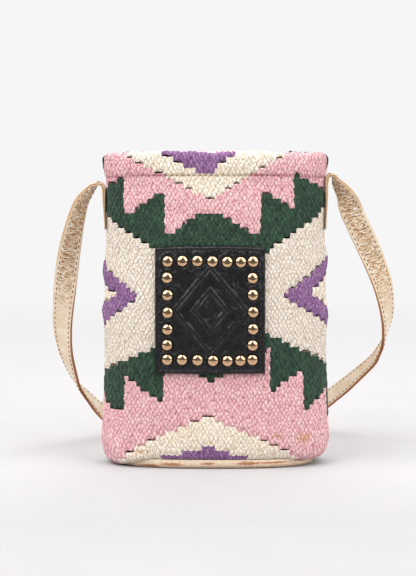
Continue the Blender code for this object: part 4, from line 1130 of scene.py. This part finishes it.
def stitchForm(length, width, height):
    # One stitch: a short thread that rises from its hole and dives again, as (along, across, out)
    rings, sides = 7, 6
    points = []
    for ring in range(rings):
        share = ring / (rings - 1) * 2 - 1
        arch = (1 - share**2) ** 0.5
        for side in range(sides):
            angle = 2 * pi * side / sides
            thick = 0.35 + 0.65 * arch
            points.append((share * length / 2, cos(angle) * width / 2 * thick,
                           height * arch + sin(angle) * width / 2 * thick - width * 0.35))
    ends = [tuple(range(sides)), tuple(range((rings - 1) * sides, rings * sides))]
    return np.array(points), tubeFaces(rings, sides) + ends


def addStitches(name, frames, owner, finish):
    # frames are (place, along, across, out) for each stitch, in mm; owner is the sewn piece's sizes
    shape, shapeFaces = stitchForm(owner["stitchLength"], owner["stitchWidth"], owner["stitchRise"])
    points, faces = [], []
    for place, along, across, out in frames:
        first = len(points)
        points += list(place + shape[:, :1] * along + shape[:, 1:2] * across + shape[:, 2:] * out)
        faces += [tuple(first + index for index in face) for face in shapeFaces]
    piece = makePiece(name, np.array(points) * mm, faces, [finish])
    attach(piece, "root")
    return piece


def strapStitchFrames():
    run, curve, along, widths, normals = strapCurve(0.7)
    frames = []
    tab = strap["tabTopLeft"] - strap["tabFoot"] + 8  # both sewn ends are left without stitches
    for place in np.arange(tab, run[-1] - tab, strap["stitchPitch"]):
        index = int(np.argmin(np.abs(run - place)))
        for edge in (-1, 1):
            across = edge * (strap["width"] / 2 - strap["stitchInset"])
            for face in (-1, 1):
                centre = curve[index] + widths[index] * across + normals[index] * face * (strapHalf - 0.1)
                frames.append((centre, along[index], widths[index] * face, normals[index] * face))
    return frames


def patchStitchFrames():
    inset, pitch = patch["stitchInset"], patch["stitchPitch"]
    halfX, halfZ = patch["width"] / 2 - inset, patch["height"] / 2 - inset
    frames = []
    for fromX, fromZ, toX, toZ in ((-1, -1, 1, -1), (1, -1, 1, 1), (1, 1, -1, 1), (-1, 1, -1, -1)):
        start = np.array([fromX * halfX, fromZ * halfZ])
        end = np.array([toX * halfX, toZ * halfZ])
        count = int(np.linalg.norm(end - start) / pitch)
        for step in range(count):
            x, z = start + (end - start) * (step + 0.5) / count
            z += (patch["arch"] * (1 - (2 * x / patch["width"]) ** 2)) if z > halfZ - 0.1 else 0
            x, z = x + patch["x"], z + patch["z"]
            y = float(frontY(x, z, patchFront - 0.32 + float(formAt(np.array(x), np.array(z)))))
            along = np.array([toX - fromX, 0, toZ - fromZ], dtype=float)
            along /= np.linalg.norm(along)
            tiltX = float(frontY(x + 1, z) - frontY(x - 1, z)) / 2
            tiltZ = float(frontY(x, z + 1) - frontY(x, z - 1)) / 2
            out = np.array([tiltX, -1, tiltZ])
            out /= np.linalg.norm(out)
            along -= out * along.dot(out)
            along /= np.linalg.norm(along)
            frames.append((np.array([x, y, z]), along, np.cross(out, along), out))
    return frames


def hemStitchFrames(side):
    # One row of running stitches that holds the hem, sunk in its groove
    frames = []
    for share in np.arange(0.03, 0.975, weave["stitchStep"]):
        z = hemLevel(share * 2 - 1)
        angle = planAngles(np.array([share]))
        x, y, outX, outY = (float(part[0]) for part in planPoint(angle, *clothSize(z)))
        out = np.array([outX, side * outY, 0])
        along = np.array([-out[1], out[0], 0]) * -side
        lift = -weave["stitchSink"] + float(formAt(np.array(x * -side), np.array(z)))
        frames.append((np.array([x, side * y, z]) + out * lift, along, np.array([0, 0, 1.0]), out))
    return frames


# Studio: a pale floor that rises into a backdrop, three large soft lamps and a plain world

studio = {
    "floor": "B5B3B4", "nearShade": 0.87, "room": 0.22,
    "wallY": 2.6, "curve": 0.9, "halfWidth": 4, "near": -0.62, "top": 3.4,  # metres
}


def studioPaper():
    # Matt seamless paper with a faint mottle: the eye sees only its even tone
    made, tree = startMaterial("paleStudioPaper")
    mottle = addNode(tree, "TexNoise", {}, {"Vector": objectPlace(tree, (0.02, 0.02, 0.02)), "Scale": 1})
    tint = addNode(tree, "ValToRGB", {}, {"Fac": mottle}, [(0.3, studio["floor"]), (0.7, "B7B5B6")])
    # In front of the pouch the paper is painted greyer, a painted shade, and behind it the camera sees it
    # rise into even white
    depth = addNode(tree, "SeparateXYZ", {}, {"Vector": addNode(tree, "TexCoord").outputs["Object"]})
    nearness = addNode(tree, "Math", {"operation": "MULTIPLY_ADD"}, {0: depth.outputs["Y"], 1: 7.0, 2: 1.2})
    dimmed = addNode(tree, "ValToRGB", {}, {"Fac": nearness}, [(0.0, studio["nearShade"]), (1.0, 1.0)])
    paperTone = addNode(tree, "Mix", {**colourMix, "blend_type": "MULTIPLY"}, {
        "Factor": 1.0, "A": tint, "B": dimmed})
    sheet = addNode(tree, "BsdfPrincipled", {}, {
        "Base Color": paperTone.outputs["Result"], "Roughness": 0.9, "Specular IOR Level": 0.1})
    away = addNode(tree, "ValToRGB", {}, {"Fac": depth.outputs["Y"]}, [(0.25, 0.0), (1.0, 1.0)])
    seen = addNode(tree, "LightPath")
    share = addNode(tree, "Math", {"operation": "MULTIPLY"}, {
        0: away, 1: seen.outputs["Is Camera Ray"]})
    white = addNode(tree, "Emission", {}, {"Color": linearColour("F6F6F6"), "Strength": 1})
    shader = addNode(tree, "MixShader", {}, {0: share, 1: sheet, 2: white})
    return finishMaterial(made, shader)


def addFloor():
    section = [(studio["near"], 0.0)]
    for turn in range(0, 91, 6):
        section.append((studio["wallY"] - studio["curve"] * (1 - sin(radians(turn))),
                        studio["curve"] * (1 - cos(radians(turn)))))
    section.append((studio["wallY"], studio["top"]))
    points = [(side * studio["halfWidth"], y, z) for y, z in section for side in (-1, 1)]
    faces = [(2 * k, 2 * k + 1, 2 * k + 3, 2 * k + 2) for k in range(len(section) - 1)]
    mesh = bpy.data.meshes.new("floor")
    mesh.from_pydata(points, [], faces)
    mesh.materials.append(studioPaper())
    mesh.polygons.foreach_set("use_smooth", np.full(len(faces), True))
    floor = bpy.data.objects.new("floor", mesh)
    bpy.context.collection.objects.link(floor)


def addRoom():
    # Dim room for the light and the reflections, while the camera sees it as white paper
    world = bpy.data.worlds.new("studio")
    world.use_nodes = True
    tree = world.node_tree
    room = tree.nodes["Background"]
    room.inputs["Color"].default_value = linearColour("F2F2F3")
    room.inputs["Strength"].default_value = studio["room"]
    paper = addNode(tree, "Background", {}, {"Color": linearColour("F7F7F7"), "Strength": 1})
    seen = addNode(tree, "LightPath")
    mixed = addNode(tree, "MixShader", {}, {0: seen.outputs["Is Camera Ray"], 1: room, 2: paper})
    tree.links.new(mixed.outputs[0], tree.nodes["World Output"].inputs["Surface"])
    bpy.context.scene.world = world


lamps = [  # name, place and size in metres, watts
    ("key", (-1.1, -0.8, 1.5), 1.9, 48.5), ("fill", (1.25, -0.85, 1.25), 1.9, 35),
    ("top", (0.1, 0.5, 1.8), 2.2, 44),
]


def addLamps():
    for name, place, size, power in lamps:
        lamp = bpy.data.lights.new(name, "AREA")
        lamp.size = size
        lamp.energy = power
        holder = bpy.data.objects.new(name, lamp)
        holder.location = place
        holder.rotation_euler = (Vector((0, 0, 0.1)) - Vector(place)).to_track_quat("-Z", "Y").to_euler()
        bpy.context.collection.objects.link(holder)


addCamera()
addFloor()
addRoom()
addLamps()
bpy.context.scene.view_settings.view_transform = "Standard"
print("camera and studio ready")

yarnFinishes = [woolYarn(name) for name in yarnNames]
cotton = liningCotton()
frontPanel = addPanel("front_weave", -1, 0, yarnFinishes, cotton)
backPanel = addPanel("back_weave", 1, weave["backShift"], yarnFinishes, cotton)
seat(frontPanel, "front_panel")
seat(backPanel, "back_panel")
liningCloth = seat(addLining(cotton), "lining")
print("cloth woven")

seat(addBase(baseLeather()), "base")
seat(addPatch(blackCalf()), "patch")
addStuds(platedBrass())
print("base, patch and studs ready")

strapFinishes = [foilLeather(), cutEdge()]
backPly = addPly("strap_ply_back", pouch["gap"] / 2, strapHalf, strapFinishes)
facePly = addPly("strap_ply_face", -strapHalf, -pouch["gap"] / 2, strapFinishes)
seat(backPly, "strap_back_ply")
seat(facePly, "strap_face_ply")
brownThread = waxedThread("brown", "6E3F20", "9C6238")
blackThread = waxedThread("black", "1A1A1D", "434349")
addStitches("strap_stitches", strapStitchFrames(), strap, brownThread)
addStitches("patch_stitches", patchStitchFrames(), patch, blackThread)
for side, label in ((-1, "front"), (1, "back")):
    addStitches("hem_stitches_" + label, hemStitchFrames(side), weave, brownThread)
print("strap and stitches ready")
